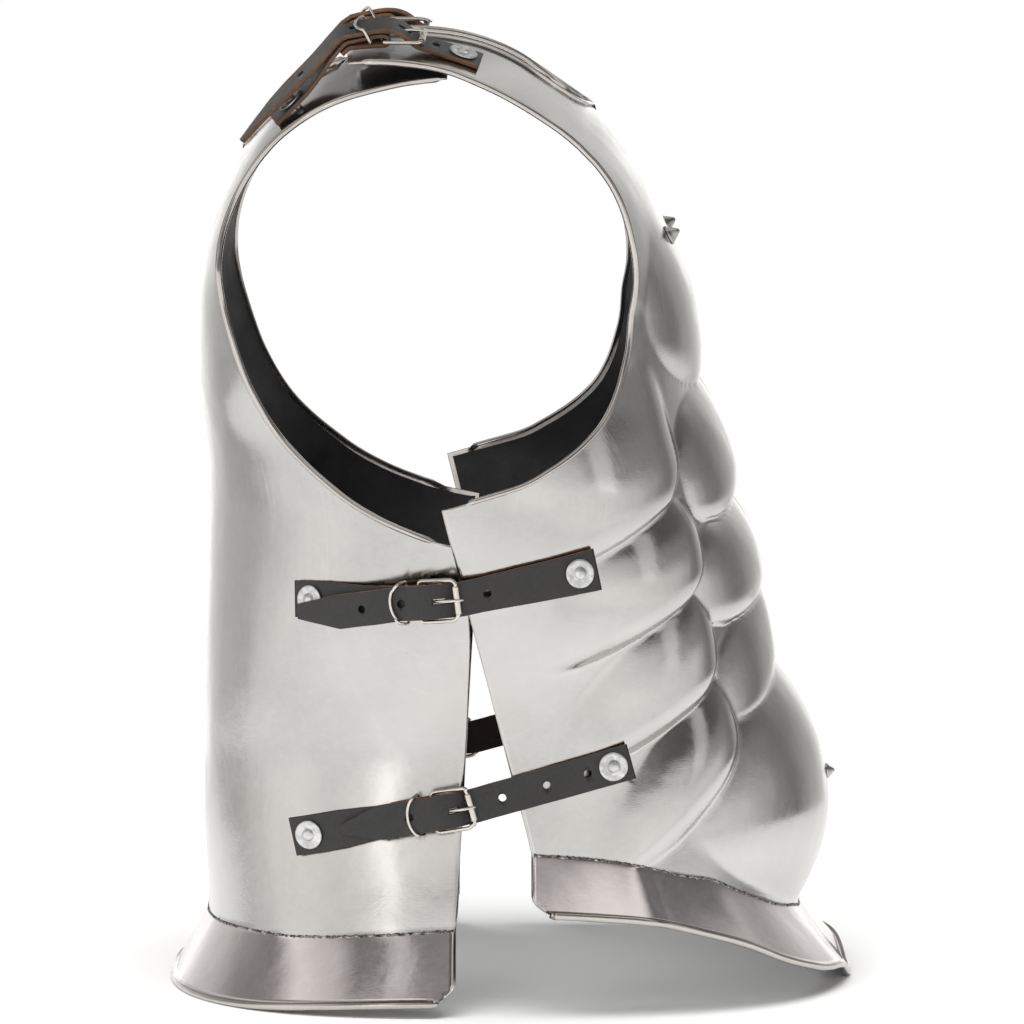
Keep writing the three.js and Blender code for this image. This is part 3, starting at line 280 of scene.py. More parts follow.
def vertex_normals(V, Q):
    N = np.zeros_like(V)
    d1, d2 = V[Q[:, 2]] - V[Q[:, 0]], V[Q[:, 3]] - V[Q[:, 1]]
    c = np.cross(d1, d2)
    for k in range(4):
        np.add.at(N, Q[:, k], c)
    return unit(N)


def shell(skin, data):
    """Outer steel face with rolled edges, as one mesh, and the painted inner face as another."""
    V, Q, kind, row_of, col_of, info, m = data
    # drop the spare copies of middle vertices
    used = np.zeros(len(V), bool)
    used[Q.ravel()] = True
    remap = np.cumsum(used) - 1
    V, row_of, col_of, Q = V[used], row_of[used], col_of[used], remap[Q]
    N = vertex_normals(V, Q)
    # hand-raised sheet: slow, slight waves
    wob = np.array([noise.noise(Vector((p[0] * 0.021, p[1] * 0.021, p[2] * 0.021))) for p in V])
    wob2 = np.array([noise.noise(Vector((p[0] * 0.055 + 7, p[1] * 0.055, p[2] * 0.055))) for p in V])
    W = V + N * (0.30 * wob + 0.10 * wob2)[:, None]
    N = vertex_normals(W, Q)
    outer, inner = W + N * SHEET / 2, W - N * SHEET / 2
    e = np.concatenate([Q[:, [0, 1]], Q[:, [1, 2]], Q[:, [2, 3]], Q[:, [3, 0]]])
    e = e[e[:, 0] != e[:, 1]]
    M = len(V)
    key, rev = e[:, 0] * M + e[:, 1], e[:, 1] * M + e[:, 0]
    open_e = e[~np.isin(key, rev)]
    dirs = {}
    for a, b in open_e:
        d = W[b] - W[a]
        d = d / (np.linalg.norm(d) + 1e-12)
        for k in (a, b):
            dirs[k] = dirs.get(k, 0) + d
    verts = [outer]
    extra = []
    base = M
    rings = {}
    angles = [118, 90, 62, 34, 6, -22, -50, -78, -106]
    for k, d in dirs.items():
        r_ = info[row_of[k]]
        if r_["hem"]:
            r = HEM_BEAD if col_of[k] < m - 1 else 0
        elif col_of[k] == m - 1:
            r = ARM_BEAD if r_["bead"] else 0
        elif col_of[k] == 0 and r_["neck"]:
            r = NECK_BEAD if r_["neck_bead"] else 0
        else:
            r = 0
        t = unit(np.cross(unit(d), N[k]))
        lst = [int(k)]
        if r:
            r = r * (1 + 0.05 * noise.noise(Vector(W[k] * 0.09)))
            for g in angles:
                p = W[k] + t * r * math.cos(g * RAD) + N[k] * r * math.sin(g * RAD)
                if r_["hem"]:
                    p[2] = max(p[2], 0.0)
                extra.append(p)
                lst.append(base + len(extra) - 1)
        else:
            for f, s in ((0.0, 0.30), (0.16, 0.36), (0.22, 0.12), (0.22, -0.12), (0.16, -0.36), (0.0, -0.60), (-0.2, -0.6), (-0.4, -0.6), (-0.8, -0.6)):
                extra.append(W[k] + t * f + N[k] * s * SHEET)
                lst.append(base + len(extra) - 1)
        extra.append(inner[k] - t * 2.5)
        lst.append(base + len(extra) - 1)
        rings[k] = lst
    ring_quads = []
    for a, b in open_e:
        A, B = rings[a], rings[b]
        for j in range(len(A) - 1):
            ring_quads.append((B[j], A[j], A[j + 1], B[j + 1]))
    allv = np.concatenate([outer, np.array(extra)])
    faces = [tuple(int(x) for x in q) for q in Q] + ring_quads
    mats = [int(x) for x in kind] + [2] * len(ring_quads)
    return allv, faces, mats, (inner, Q[:, ::-1])


def new_object(name, verts, faces, mats, materials, smooth=True, offset=None):
    v = np.asarray(verts, float).copy()
    v[:, 1] -= MID_Y
    me = bpy.data.meshes.new(name)
    clean = []
    mi = []
    for i, f in enumerate(faces):
        g = []
        for x in f:
            if x not in g:
                g.append(x)
        if len(g) >= 3:
            clean.append(g)
            mi.append(mats[i] if mats is not None else 0)
    me.from_pydata([tuple(p) for p in v * MM], [], clean)
    for m_ in materials:
        me.materials.append(m_)
    me.polygons.foreach_set("material_index", mi)
    if smooth:
        me.polygons.foreach_set("use_smooth", [True] * len(clean))
    me.update()
    o = bpy.data.objects.new(name, me)
    bpy.context.scene.collection.objects.link(o)
    return o


def give(obj, slot, *nodes):
    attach(obj, "root")
    if nodes:
        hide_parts(*nodes)
    return obj


# the plan shift that puts the frame's origin at the middle of its box
MID_Y = 0.766


# ------------------------------------------------------------------ materials
class Mat:
    def __init__(self, name):
        self.m = bpy.data.materials.new(name)
        self.m.use_nodes = True
        self.t = self.m.node_tree
        self.bsdf = self.t.nodes["Principled BSDF"]
        self.coord = self.t.nodes.new("ShaderNodeTexCoord")

    def node(self, kind, **kw):
        n = self.t.nodes.new(kind)
        for k, v in kw.items():
            if k in n.inputs:
                n.inputs[k].default_value = v
            else:
                setattr(n, k, v)
        return n

    def link(self, a, b):
        self.t.links.new(a, b)

    def mapped(self, scale=(1, 1, 1), loc=(0, 0, 0), rot=(0, 0, 0)):
        n = self.t.nodes.new("ShaderNodeMapping")
        n.inputs["Scale"].default_value = scale
        n.inputs["Location"].default_value = loc
        n.inputs["Rotation"].default_value = rot
        self.link(self.coord.outputs["Object"], n.inputs["Vector"])
        return n.outputs["Vector"]

    def noise(self, scale, detail=4, rough=0.55, vec=None, distortion=0.0):
        n = self.t.nodes.new("ShaderNodeTexNoise")
        n.inputs["Scale"].default_value = scale
        n.inputs["Detail"].default_value = detail
        n.inputs["Roughness"].default_value = rough
        n.inputs["Distortion"].default_value = distortion
        self.link(vec if vec is not None else self.coord.outputs["Object"], n.inputs["Vector"])
        return n.outputs["Fac"]

    def voronoi(self, scale, feature="F1", vec=None, out="Distance"):
        n = self.t.nodes.new("ShaderNodeTexVoronoi")
        n.feature = feature
        n.inputs["Scale"].default_value = scale
        self.link(vec if vec is not None else self.coord.outputs["Object"], n.inputs["Vector"])
        return n.outputs[out]

    def ramp(self, fac, stops):
        n = self.t.nodes.new("ShaderNodeValToRGB")
        e = n.color_ramp.elements
        while len(e) < len(stops):
            e.new(0.5)
        for k, (p, c) in zip(e, stops):
            k.position = p
            k.color = (*c, 1) if len(c) == 3 else c
        self.link(fac, n.inputs["Fac"])
        return n.outputs["Color"]

    def range(self, fac, a, b, c, d):
        n = self.t.nodes.new("ShaderNodeMapRange")
        for k, v in zip(("From Min", "From Max", "To Min", "To Max"), (a, b, c, d)):
            n.inputs[k].default_value = v
        self.link(fac, n.inputs["Value"])
        return n.outputs["Result"]

    def mix(self, fac, a, b, blend="MIX"):
        n = self.t.nodes.new("ShaderNodeMix")
        n.data_type = "RGBA"
        n.blend_type = blend
        for s, v in ((0, fac), (6, a), (7, b)):
            if isinstance(v, (int, float)):
                n.inputs[s].default_value = v
            elif isinstance(v, tuple):
                n.inputs[s].default_value = (*v, 1) if len(v) == 3 else v
            else:
                self.link(v, n.inputs[s])
        return n.outputs[2]

    def math(self, op, a, b=0.0, clamp=False):
        n = self.t.nodes.new("ShaderNodeMath")
        n.operation = op
        n.use_clamp = clamp
        for s, v in ((0, a), (1, b)):
            if isinstance(v, (int, float)):
                n.inputs[s].default_value = v
            else:
                self.link(v, n.inputs[s])
        return n.outputs[0]

    def bump(self, height, strength, dist, normal=None):
        n = self.t.nodes.new("ShaderNodeBump")
        n.inputs["Strength"].default_value = strength
        n.inputs["Distance"].default_value = dist
        self.link(height, n.inputs["Height"])
        if normal is not None:
            self.link(normal, n.inputs["Normal"])
        return n.outputs["Normal"]

    def set(self, key, v):
        if hasattr(v, "default_value") or hasattr(v, "is_output"):
            self.link(v, self.bsdf.inputs[key])
        else:
            self.bsdf.inputs[key].default_value = (*v, 1) if isinstance(v, tuple) and len(v) == 3 else v


def scratches(k, scale, rot, loc=(0, 0, 0), width=0.012):
    """Thin straight marks: stretched noise cut to a narrow level."""
    vec = k.mapped(scale=(scale, scale * 0.02, scale * 0.02), rot=rot, loc=loc)
    f = k.noise(1.0, detail=0, rough=0.4, vec=vec)
    d = k.math("ABSOLUTE", k.math("SUBTRACT", f, 0.5))
    line = k.range(d, 0.0, width, 1.0, 0.0)
    patch = k.range(k.noise(9, detail=2, vec=k.mapped(loc=loc)), 0.52, 0.62, 0.0, 1.0)
    return k.math("MULTIPLY", line, patch, True)


def steel(name, tone, rough, warm=0.0, dirt=0.0):
    k = Mat(name)
    big = k.noise(14, detail=5, rough=0.6)
    fine = k.noise(220, detail=6, rough=0.7)
    lo = tuple(c * (0.90 - 0.1 * dirt) for c in tone)
    hi = tuple(min(1, c * 1.06) for c in tone)
    col = k.ramp(k.math("ADD", k.math("MULTIPLY", big, 0.7), k.math("MULTIPLY", fine, 0.3)), [(0.32, lo), (0.68, hi)])
    # faint tarnish clouds and small dark specks
    cloud = k.range(k.noise(6, detail=6, rough=0.65, vec=k.mapped(loc=(0.3, 0.1, 0.7))), 0.5, 0.78, 0.0, 0.16 + dirt)
    col = k.mix(cloud, col, (0.42, 0.36, 0.30))
    spot = k.range(k.voronoi(95), 0.0, 0.055, 0.55, 0.0)
    gate = k.range(k.noise(21, detail=2, vec=k.mapped(loc=(2, 5, 1))), 0.62, 0.72, 0.0, 1.0)
    col = k.mix(k.math("MULTIPLY", spot, gate, True), col, (0.20, 0.18, 0.17))
    scr = k.math("MAXIMUM", scratches(k, 260, (0.4, 0.9, 0.2)), scratches(k, 200, (1.1, 0.1, 1.9), (4, 1, 3)), True)
    col = k.mix(k.math("MULTIPLY", scr, 0.10), col, (0.9, 0.88, 0.85))
    if warm:
        wn = k.range(k.noise(60, detail=4), 0.35, 0.7, 0.25 * warm, warm)
        col = k.mix(wn, col, (0.50, 0.36, 0.29))
    k.set("Base Color", col)
    k.set("Metallic", 1.0)
    r = k.math("ADD", k.range(k.noise(30, detail=6, rough=0.7), 0.3, 0.7, rough - 0.05, rough + 0.07),
               k.range(fine, 0.3, 0.7, -0.03, 0.04))
    r = k.math("ADD", r, k.math("MULTIPLY", scr, 0.05))
    k.set("Roughness", r)
    # polishing lines and a little orange peel
    brushed = k.noise(1.0, detail=3, rough=0.6, vec=k.mapped(scale=(300, 300, 1800)))
    n0 = k.bump(k.noise(26, detail=2, rough=0.5, vec=k.mapped(loc=(3, 1, 4))), 0.11, 0.004)
    n1 = k.bump(brushed, 0.06, 0.0004, n0)
    n2 = k.bump(k.noise(160, detail=3, rough=0.5), 0.05, 0.0012, n1)
    n3 = k.bump(scr, 0.04, 0.0003, n2)
    k.set("Normal", n3)
    return k.m


def painted_inside():
    k = Mat("inside_black_paint")
    c = k.ramp(k.noise(40, detail=6, rough=0.7), [(0.3, (0.010, 0.010, 0.011)), (0.7, (0.026, 0.025, 0.025))])
    rub = k.range(k.noise(11, detail=5, rough=0.6, vec=k.mapped(loc=(3, 2, 1))), 0.60, 0.80, 0.0, 0.35)
    k.set("Base Color", k.mix(rub, c, (0.07, 0.066, 0.062)))
    k.set("Roughness", k.range(k.noise(55, detail=5), 0.3, 0.7, 0.42, 0.62))
    k.set("Normal", k.bump(k.noise(260, detail=4, rough=0.6), 0.25, 0.0006))
    return k.m


def leather(name, dark, light, rough, grain=1.0):
    k = Mat(name)
    cells = k.voronoi(1050, feature="DISTANCE_TO_EDGE", vec=k.mapped(scale=(1, 1, 1)))
    big = k.noise(55, detail=6, rough=0.65)
    pores = k.noise(900, detail=3, rough=0.6)
    col = k.ramp(k.math("ADD", k.math("MULTIPLY", big, 0.6), k.math("MULTIPLY", pores, 0.4)), [(0.34, dark), (0.68, light)])
    crack = k.range(cells, 0.0, 0.12, 0.35, 0.0)
    col = k.mix(crack, col, tuple(c * 0.45 for c in dark))
    scuff = k.range(k.noise(28, detail=7, rough=0.75, vec=k.mapped(loc=(1, 4, 2))), 0.60, 0.80, 0.0, 0.30)
    col = k.mix(scuff, col, tuple(min(1, c * 2.4 + 0.03) for c in light))
    k.set("Base Color", col)
    k.set("Roughness", k.range(big, 0.3, 0.7, rough - 0.08, rough + 0.12))
    h = k.math("ADD", k.range(cells, 0.0, 0.25, 0.0, 1.0), k.math("MULTIPLY", pores, 0.6))
    n = k.bump(h, 0.28 * grain, 0.0003)
    k.set("Normal", k.bump(big, 0.25 * grain, 0.0008, n))
    return k.m


def fibre(name, shade_factor=1.0):
    """Cut edge and flesh side of vegetable tanned leather; a shade_factor below 1 darkens the whole colour as painted
    shade.
    """
    k = Mat(name)
    lines = k.noise(1.0, detail=4, rough=0.7, vec=k.mapped(scale=(700, 260, 1500)))
    big = k.noise(70, detail=5, rough=0.65)
    col = k.ramp(k.math("ADD", k.math("MULTIPLY", lines, 0.5), k.math("MULTIPLY", big, 0.5)),
                 [(0.30, (0.036 * shade_factor, 0.018 * shade_factor, 0.010 * shade_factor)), (0.52, (0.115 * shade_factor, 0.058 * shade_factor, 0.031 * shade_factor)), (0.75, (0.215 * shade_factor, 0.122 * shade_factor, 0.072 * shade_factor))])
    k.set("Base Color", col)
    k.set("Roughness", k.range(big, 0.3, 0.7, 0.68, 0.9))
    k.set("Normal", k.bump(lines, 0.5, 0.0004))
    return k.m


def plated(name, tone, rough, mottle=0.0):
    k = Mat(name)
    n1 = k.noise(240, detail=5, rough=0.65)
    col = k.ramp(n1, [(0.3, tuple(c * 0.84 for c in tone)), (0.7, tone)])
    if mottle:
        cell = k.voronoi(420, out="Color")
        bw = k.t.nodes.new("ShaderNodeRGBToBW")
        k.link(cell, bw.inputs[0])
        col = k.mix(k.range(bw.outputs[0], 0.2, 0.8, 0.0, mottle), col, (0.34, 0.34, 0.33))
        col = k.mix(k.range(k.noise(130, detail=5, rough=0.7, vec=k.mapped(loc=(5, 1, 2))), 0.5, 0.7, 0.0, mottle * 0.8), col, (0.82, 0.82, 0.80))
    grime = k.range(k.noise(90, detail=5, vec=k.mapped(loc=(1, 2, 3))), 0.52, 0.75, 0.0, 0.4)
    col = k.mix(grime, col, tuple(c * 0.5 for c in tone))
    k.set("Base Color", col)
    k.set("Metallic", 1.0)
    k.set("Roughness", k.range(k.noise(150, detail=6, rough=0.7), 0.3, 0.7, rough - 0.06, rough + 0.12))
    k.set("Normal", k.bump(k.noise(500, detail=4, rough=0.6), 0.16 + 0.3 * mottle, 0.0003))
    return k.m


def weld_metal():
    k = Mat("weld_bead")
    f = k.noise(380, detail=4, rough=0.7)
    col = k.ramp(f, [(0.36, (0.035, 0.030, 0.028)), (0.50, (0.16, 0.14, 0.13)), (0.62, (0.55, 0.52, 0.49))])
    k.set("Base Color", col)
    k.set("Metallic", 0.9)
    k.set("Roughness", k.range(k.noise(300, detail=3), 0.3, 0.7, 0.3, 0.65))
    k.set("Normal", k.bump(k.noise(700, detail=3), 0.7, 0.0006))
    return k.m


M_STEEL = steel("plate_steel", (0.565, 0.553, 0.538), 0.155)
M_FLANGE = steel("flange_steel", (0.74, 0.69, 0.68), 0.14, dirt=0.05)
M_BEAD = steel("edge_steel", (0.56, 0.535, 0.515), 0.17, warm=0.16, dirt=0.04)
M_BLACK = painted_inside()
M_LEATHER = leather("strap_leather_black", (0.010, 0.0095, 0.0092), (0.030, 0.0285, 0.0275), 0.42)
M_FIBRE = fibre("strap_leather_edge")
# flesh side of the side straps, darkened to near black: painted shade under the straps and inside the buckle folds
M_FLESH = fibre("strap_leather_flesh_painted_shade", 0.16)
M_NICKEL = plated("buckle_nickel", (0.72, 0.675, 0.625), 0.20)
M_ZINC = plated("washer_zinc", (0.80, 0.80, 0.79), 0.42, mottle=0.5)
M_STUD = plated("stud_steel", (0.50, 0.485, 0.47), 0.20)
M_WELD = weld_metal()

# ------------------------------------------------------------------ the two plates
fine_cols = np.concatenate([np.linspace(0, 50, 84)[:-1], np.linspace(50, 90, 48)]) / 90
breast_data = plate(breast_skin, BREAST_ROWS, 112, 14, fine_cols, lambda v: 3.4 if v > 70 else 2.0)
back_data = plate(back_skin, BACK_ROWS, 60, 12, np.linspace(0, 1, 72), lambda v: 3.4)

bvh_parts = []


def build_plate(tag, skin, data, node, inner_step):
    verts, faces, mats, (inner, iq) = shell(skin, data)
    o = new_object(node + "_steel", verts, faces, mats, [M_STEEL, M_FLANGE, M_BEAD])
    give(o, "plate_steel", node)
    inside = new_object(node + "_inside", inner, [tuple(int(x) for x in q) for q in iq], None, [M_BLACK])
    give(inside, "plate_steel")
    bvh_parts.append((verts, faces))
    return o


build_plate("breast", breast_skin, breast_data, "breast_plate", 2)
build_plate("back", back_skin, back_data, "back_plate", 2)

sv, sf, base = [], [], 0
for v, f in bvh_parts:
    sv.extend([Vector(p) for p in v])
    sf.extend([tuple(x + base for x in q) for q in f])
    base += len(v)
tree = BVHTree.FromPolygons(sv, sf)
trees = [BVHTree.FromPolygons([Vector(p) for p in v], f) for v, f in bvh_parts]


def hit(tr, origin, direction):
    loc, nrm, idx, dist = tr.ray_cast(Vector(origin), Vector(direction), 2000)
    return None if loc is None else np.array(loc)


# ------------------------------------------------------------------ strap lanes
LANES = [
    dict(name="side_upper", path=[(43.5, -14.8), (-26.9, -29.6), (-58, -32), (-114, -42)],
         also=[(43.5, -14.8), (-26.9, -29.6), (-58, -32), (-112, -32.8)],
         bar=91.4, front=11, tip=154, loop_end=157, loop_half=9.7, front_rivet=9.4, loop_rivet=8.2, holes=[57.5, 99.9, 119.9],
         tail=[(34, 7.6), (50, 6.2), (90, 6.2)]),
    dict(name="side_lower", path=[(62, -117.2), (-21.8, -140.6), (-56, -145.9), (-116, -158.9)], also=None,
         bar=105.9, front=9.4, tip=154.7, loop_end=180.6, loop_half=10.2, front_rivet=9.6, loop_rivet=8.8,
         holes=[23.3, 45.5, 69.5, 118.8], tail=[(34, 7.0), (50, 5.2), (90, 5.2)]),
    dict(name="shoulder", path=[(-17, 96), (-128, 92)], also=None, shoulder=True, tilt=20,
         bar=50.5, front=10, tip=121, loop_end=107, loop_half=9.6, front_rivet=9.5, loop_rivet=10, holes=[23.5, 65.5, 87.5],
         tail=[(34, 8.5), (58, 8.3), (90, 4.3)])]
RISE = [(-200, 1.55), (-34, 1.55), (-24, 2.8), (-18.5, 3.4), (-15.5, 4.7), (-11, 8.8), (-5.5, 11.3), (-1, 11.8),
        (4, 11.6), (9, 10.6), (16, 10.1), (24, 9.5)]
LOOP = [(40, 1.9), (32, 3.4), (25, 5.6), (17, 6.5), (11, 7.3), (6, 8.1), (2.6, 8.65), (0, 8.65), (-1.4, 8.3),
        (-2.4, 7.35), (-2.8, 5.9), (-2.4, 4.45), (-1.4, 3.5), (0, 3.15), (8, 3.15), (16, 3.15), (21, 3.15)]
BAR_H, ROLLER_H, PITCH, FRAME_HALF = 5.9, 7.1, 19.5, 10.6


class Lane:
    def __init__(self, L, path, also):
        self.path = np.array(path, float)
        self.shoulder = L.get("shoulder", False)
        self.tilt = L.get("tilt", 0) * RAD
        both = [self.path] + ([np.array(also, float)] if also else [])
        self.total = float(np.sum(np.linalg.norm(np.diff(self.path, axis=0), axis=1)))
        pts = []
        s = 0.0
        while s <= self.total + 1e-6:
            best = -1e9
            for Q in both:
                q, d = self.along(Q, s)
                for f in (-1, -0.67, -0.33, 0, 0.33, 0.67, 1):
                    w = f * 11
                    if self.shoulder:
                        h = hit(tree, (q[1] + w * math.cos(self.tilt), -q[0], 700), (0, 0, -1))
                        if h is not None:
                            best = max(best, h[2] + w * math.sin(self.tilt))
                    else:
                        h = hit(tree, (400, -q[0] - w * d[1], q[1] - w * d[0] + DATUM_Z), (-1, 0, 0))
                        if h is not None:
                            best = max(best, h[0])
            if best > -1e8:
                pts.append((s, best))
            s += 2.5
        hull = []
        for p in pts:
            while len(hull) > 1:
                a, b = hull[-2], hull[-1]
                if (b[0] - a[0]) * (p[1] - a[1]) - (b[1] - a[1]) * (p[0] - a[0]) >= 0:
                    hull.pop()
                else:
                    break
            hull.append(p)
        self.hx, self.hy = np.array([p[0] for p in hull]), np.array([p[1] for p in hull])

    @staticmethod
    def along(Q, s):
        i, rest = 0, s
        while i < len(Q) - 2 and rest > np.linalg.norm(Q[i + 1] - Q[i]):
            rest -= np.linalg.norm(Q[i + 1] - Q[i])
            i += 1
        d = (Q[i + 1] - Q[i]) / np.linalg.norm(Q[i + 1] - Q[i])
        return Q[i] + d * rest, d

    def raw(self, s):
        i = int(np.clip(np.searchsorted(self.hx, s, side="left") - 1, 0, len(self.hx) - 2))
        t = (s - self.hx[i]) / (self.hx[i + 1] - self.hx[i])
        return self.hy[i] + (self.hy[i + 1] - self.hy[i]) * t

    def soft(self, s):
        k = np.arange(-12, 12.01, 1.5)
        w = 1 - np.abs(k) / 13
        return max(float(np.sum(w * np.array([self.raw(s + q) for q in k])) / np.sum(w)), self.raw(s))

    def place(self, s):
        if not hasattr(self, "memo"):
            self.memo = {}
        key = round(s * 4) / 4
        if key not in self.memo:
            e = 1.5
            sl = (self.soft(key + e) - self.soft(key - e)) / (2 * e)
            q, d = self.along(self.path, key)
            if self.shoulder:
                base, fwd = np.array([q[1], -q[0], self.soft(key)]), np.array([0, -d[0], 0.0])
                up0, z = np.array([math.sin(self.tilt), 0, math.cos(self.tilt)]), np.array([0, 0, 1.0])
                across = np.array([math.cos(self.tilt), 0, -math.sin(self.tilt)])
            else:
                base, fwd = np.array([self.soft(key), -q[0], q[1] + DATUM_Z]), np.array([0, -d[0], d[1]])
                up0 = z = np.array([1.0, 0, 0])
                across = -np.cross(fwd, up0)
            t = unit(fwd + z * sl)
            across = unit(across - t * across.dot(t))
            n = np.cross(across, t)
            if n.dot(up0) < 0:
                n = -n
            self.memo[key] = (base, across, n)
        return self.memo[key]

    def map(self, s, w, h):
        k0 = math.floor(s * 4) / 4
        f = (s - k0) * 4
        A, B = self.place(k0), self.place(k0 + 0.25)
        base, across, n = ((1 - f) * A[i] + f * B[i] for i in range(3))
        return base + across * w + n * h


def runs(rows):
    x, y = [r[0] for r in rows], [r[1] for r in rows]

    def f(s):
        return float(np.mean([np.interp(s + k, x, y) for k in (-2.4, -1.6, -0.8, 0, 0.8, 1.6, 2.4)]))
    return f


def chaikin(pts, closed=False, times=2):
    p = np.array(pts, float)
    for _ in range(times):
        nxt = np.roll(p, -1, axis=0) if closed else p[1:]
        cur = p if closed else p[:-1]
        a, b = cur * 0.75 + nxt * 0.25, cur * 0.25 + nxt * 0.75
        q = np.empty((2 * len(a), p.shape[1]))
        q[0::2], q[1::2] = a, b
        p = q if closed else np.vstack([p[:1], q, p[-1:]])
    return p


def resample(p, step):
    p = np.array(p, float)
    d = np.concatenate([[0], np.cumsum(np.linalg.norm(np.diff(p, axis=0), axis=1))])
    n = max(2, int(round(d[-1] / step)) + 1)
    t = np.linspace(0, d[-1], n)
    return np.stack([np.interp(t, d, p[:, k]) for k in range(p.shape[1])], -1)


def ribbon(ln, line, thick, half_of, seed, flip=False):
    """Strap swept along (s, h) with rounded edges.  Faces: 0 grain side, 1 cut edges, 2 flesh side."""
    n = len(line)
    across = [-1, -0.985, -0.94, -0.6, -0.2, 0.2, 0.6, 0.94, 0.985, 1]
    prof = [(c, 1) for c in across[1:-1]] + [(1, 0.72), (1.006, 0.25), (1.006, -0.25), (1, -0.72)] \
        + [(c, -1) for c in across[1:-1][::-1]] + [(-1, -0.72), (-1.006, -0.25), (-1.006, 0.25), (-1, 0.72)]
    verts, faces, mats = [], [], []
    K = len(prof)
    for i in range(n):
        a, b = line[max(i - 1, 0)], line[min(i + 1, n - 1)]
        d = np.array([b[0] - a[0], b[1] - a[1]])
        d = d / (np.linalg.norm(d) + 1e-9)
        nn = np.array([-d[1], d[0]])
        s, h = line[i]
        lo, hi = half_of(s, i / (n - 1))
        for (c, tk) in prof:
            wv = c * (hi if c > 0 else lo)
            edge = 0.12 * noise.noise(Vector((s * 0.11, seed + (3 if c > 0 else 0), 0))) if abs(c) > 0.9 else 0
            crown = -0.10 * (abs(c) ** 3) * (1 if tk > 0 else 0)
            flat = 0.05 * noise.noise(Vector((s * 0.07, c * 1.3, seed)))
            st = tk * thick / 2 + (crown + flat if abs(tk) == 1 else 0)
            o = nn * st
            verts.append(ln.map(s + o[0], wv + edge * (1 if c > 0 else -1), h + o[1]))
    nb = len(across) - 2
    for i in range(n - 1):
        for k in range(K):
            a, b = i * K + k, i * K + (k + 1) % K
            faces.append((a, a + K, b + K, b))
            side = 0 if k < nb - 1 else 1 if k < nb + 3 else 2 if k < 2 * nb + 3 else 1
            mats.append(2 - side if flip else side)
    # end walls as fans round a middle point
    for i, rev in ((0, False), (n - 1, True)):
        ring = list(range(i * K, i * K + K))
        c = len(verts)
        verts.append(np.mean([verts[r] for r in ring], axis=0))
        for k in range(K):
            f = (ring[k], ring[(k + 1) % K], c)
            faces.append(f[::-1] if rev else f)
            mats.append(1)
    return orient(np.array(verts), faces), faces, mats


def orient(verts, faces):
    v = 0.0
    for f in faces:
        for k in range(1, len(f) - 1):
            v += np.dot(verts[f[0]], np.cross(verts[f[k]], verts[f[k + 1]]))
    if v < 0:
        for i, f in enumerate(faces):
            faces[i] = tuple(f[::-1])
    return verts


def wire(points, radius, closed, sides=14, taper=None):
    pts = np.array(points, float)
    n = len(pts)
    verts, faces = [], []
    up = None
    for i in range(n):
        a = pts[(i - 1) % n] if closed else pts[max(i - 1, 0)]
        b = pts[(i + 1) % n] if closed else pts[min(i + 1, n - 1)]
        t = unit(b - a)
        if up is None:
            up = np.array([0, 0, 1.0]) if abs(t[2]) < 0.8 else np.array([1.0, 0, 0])
        up = unit(up - t * up.dot(t))
        side = np.cross(t, up)
        r = radius * (taper(i / (n - 1)) if taper else 1)
        for k in range(sides):
            g = 2 * math.pi * k / sides
            verts.append(pts[i] + up * r * math.cos(g) + side * r * math.sin(g))
    shift = 0
    if closed:
        d = [np.linalg.norm(verts[(n - 1) * sides] - verts[k]) for k in range(sides)]
        shift = int(np.argmin(d))
    for i in range(n if closed else n - 1):
        j = (i + 1) % n
        s = shift if i == n - 1 else 0
        for k in range(sides):
            faces.append((i * sides + k, i * sides + (k + 1) % sides, j * sides + (k + 1 + s) % sides, j * sides + (k + s) % sides))
    if not closed:
        for i, rev in ((0, True), (n - 1, False)):
            c = len(verts)
            verts.append(pts[i] + (pts[i] - pts[1 if i == 0 else n - 2]) * 0.25)
            for k in range(sides):
                f = (i * sides + k, i * sides + (k + 1) % sides, c)
                faces.append(f[::-1] if rev else f)
    v = np.array(verts)
    return orient(v, faces), faces


def lathe(profile, origin, axis, sides=48, wobble=0.0, seed=0):
    axis = unit(np.array(axis, float))
    ref = np.array([0, 0, 1.0]) if abs(axis[2]) < 0.8 else np.array([1.0, 0, 0])
    u = unit(np.cross(axis, ref))
    w = np.cross(axis, u)
    verts, faces, rings = [], [], []
    for r, h in profile:
        if r < 1e-6:
            verts.append(np.array(origin) + axis * h)
            rings.append([len(verts) - 1] * sides)
        else:
            ring = []
            for k in range(sides):
                g = 2 * math.pi * k / sides
                rr = r * (1 + wobble * noise.noise(Vector((math.cos(g) * 1.3 + seed, math.sin(g) * 1.3, h))))
                verts.append(np.array(origin) + axis * h + (u * math.cos(g) + w * math.sin(g)) * rr)
                ring.append(len(verts) - 1)
            rings.append(ring)
    for a, b in zip(rings[:-1], rings[1:]):
        for k in range(sides):
            f = [a[k], a[(k + 1) % sides], b[(k + 1) % sides], b[k]]
            g = []
            for x in f:
                if x not in g:
                    g.append(x)
            if len(g) > 2:
                faces.append(tuple(g))
    v = np.array(verts)
    return orient(v, faces), faces


def cylinder_cutter(o, n, r, lo, hi, sides=24):
    return lathe([(0, lo), (r, lo), (r, hi), (0, hi)], o, n, sides)


def block_cutter(ln, s0, s1, h0, h1, w):
    c = [ln.map(s, k, h) for s, h in ((s0, h0), (s1, h0), (s1, h1), (s0, h1)) for k in (-w, w)]
    f = []
    for k in range(4):
        a, b = 2 * k, (2 * k + 2) % 8
        f.append((a, b, b + 1, a + 1))
    f += [(0, 2, 4, 6)[::-1], (1, 3, 5, 7)]
    v = np.array(c)
    return orient(v, f), f


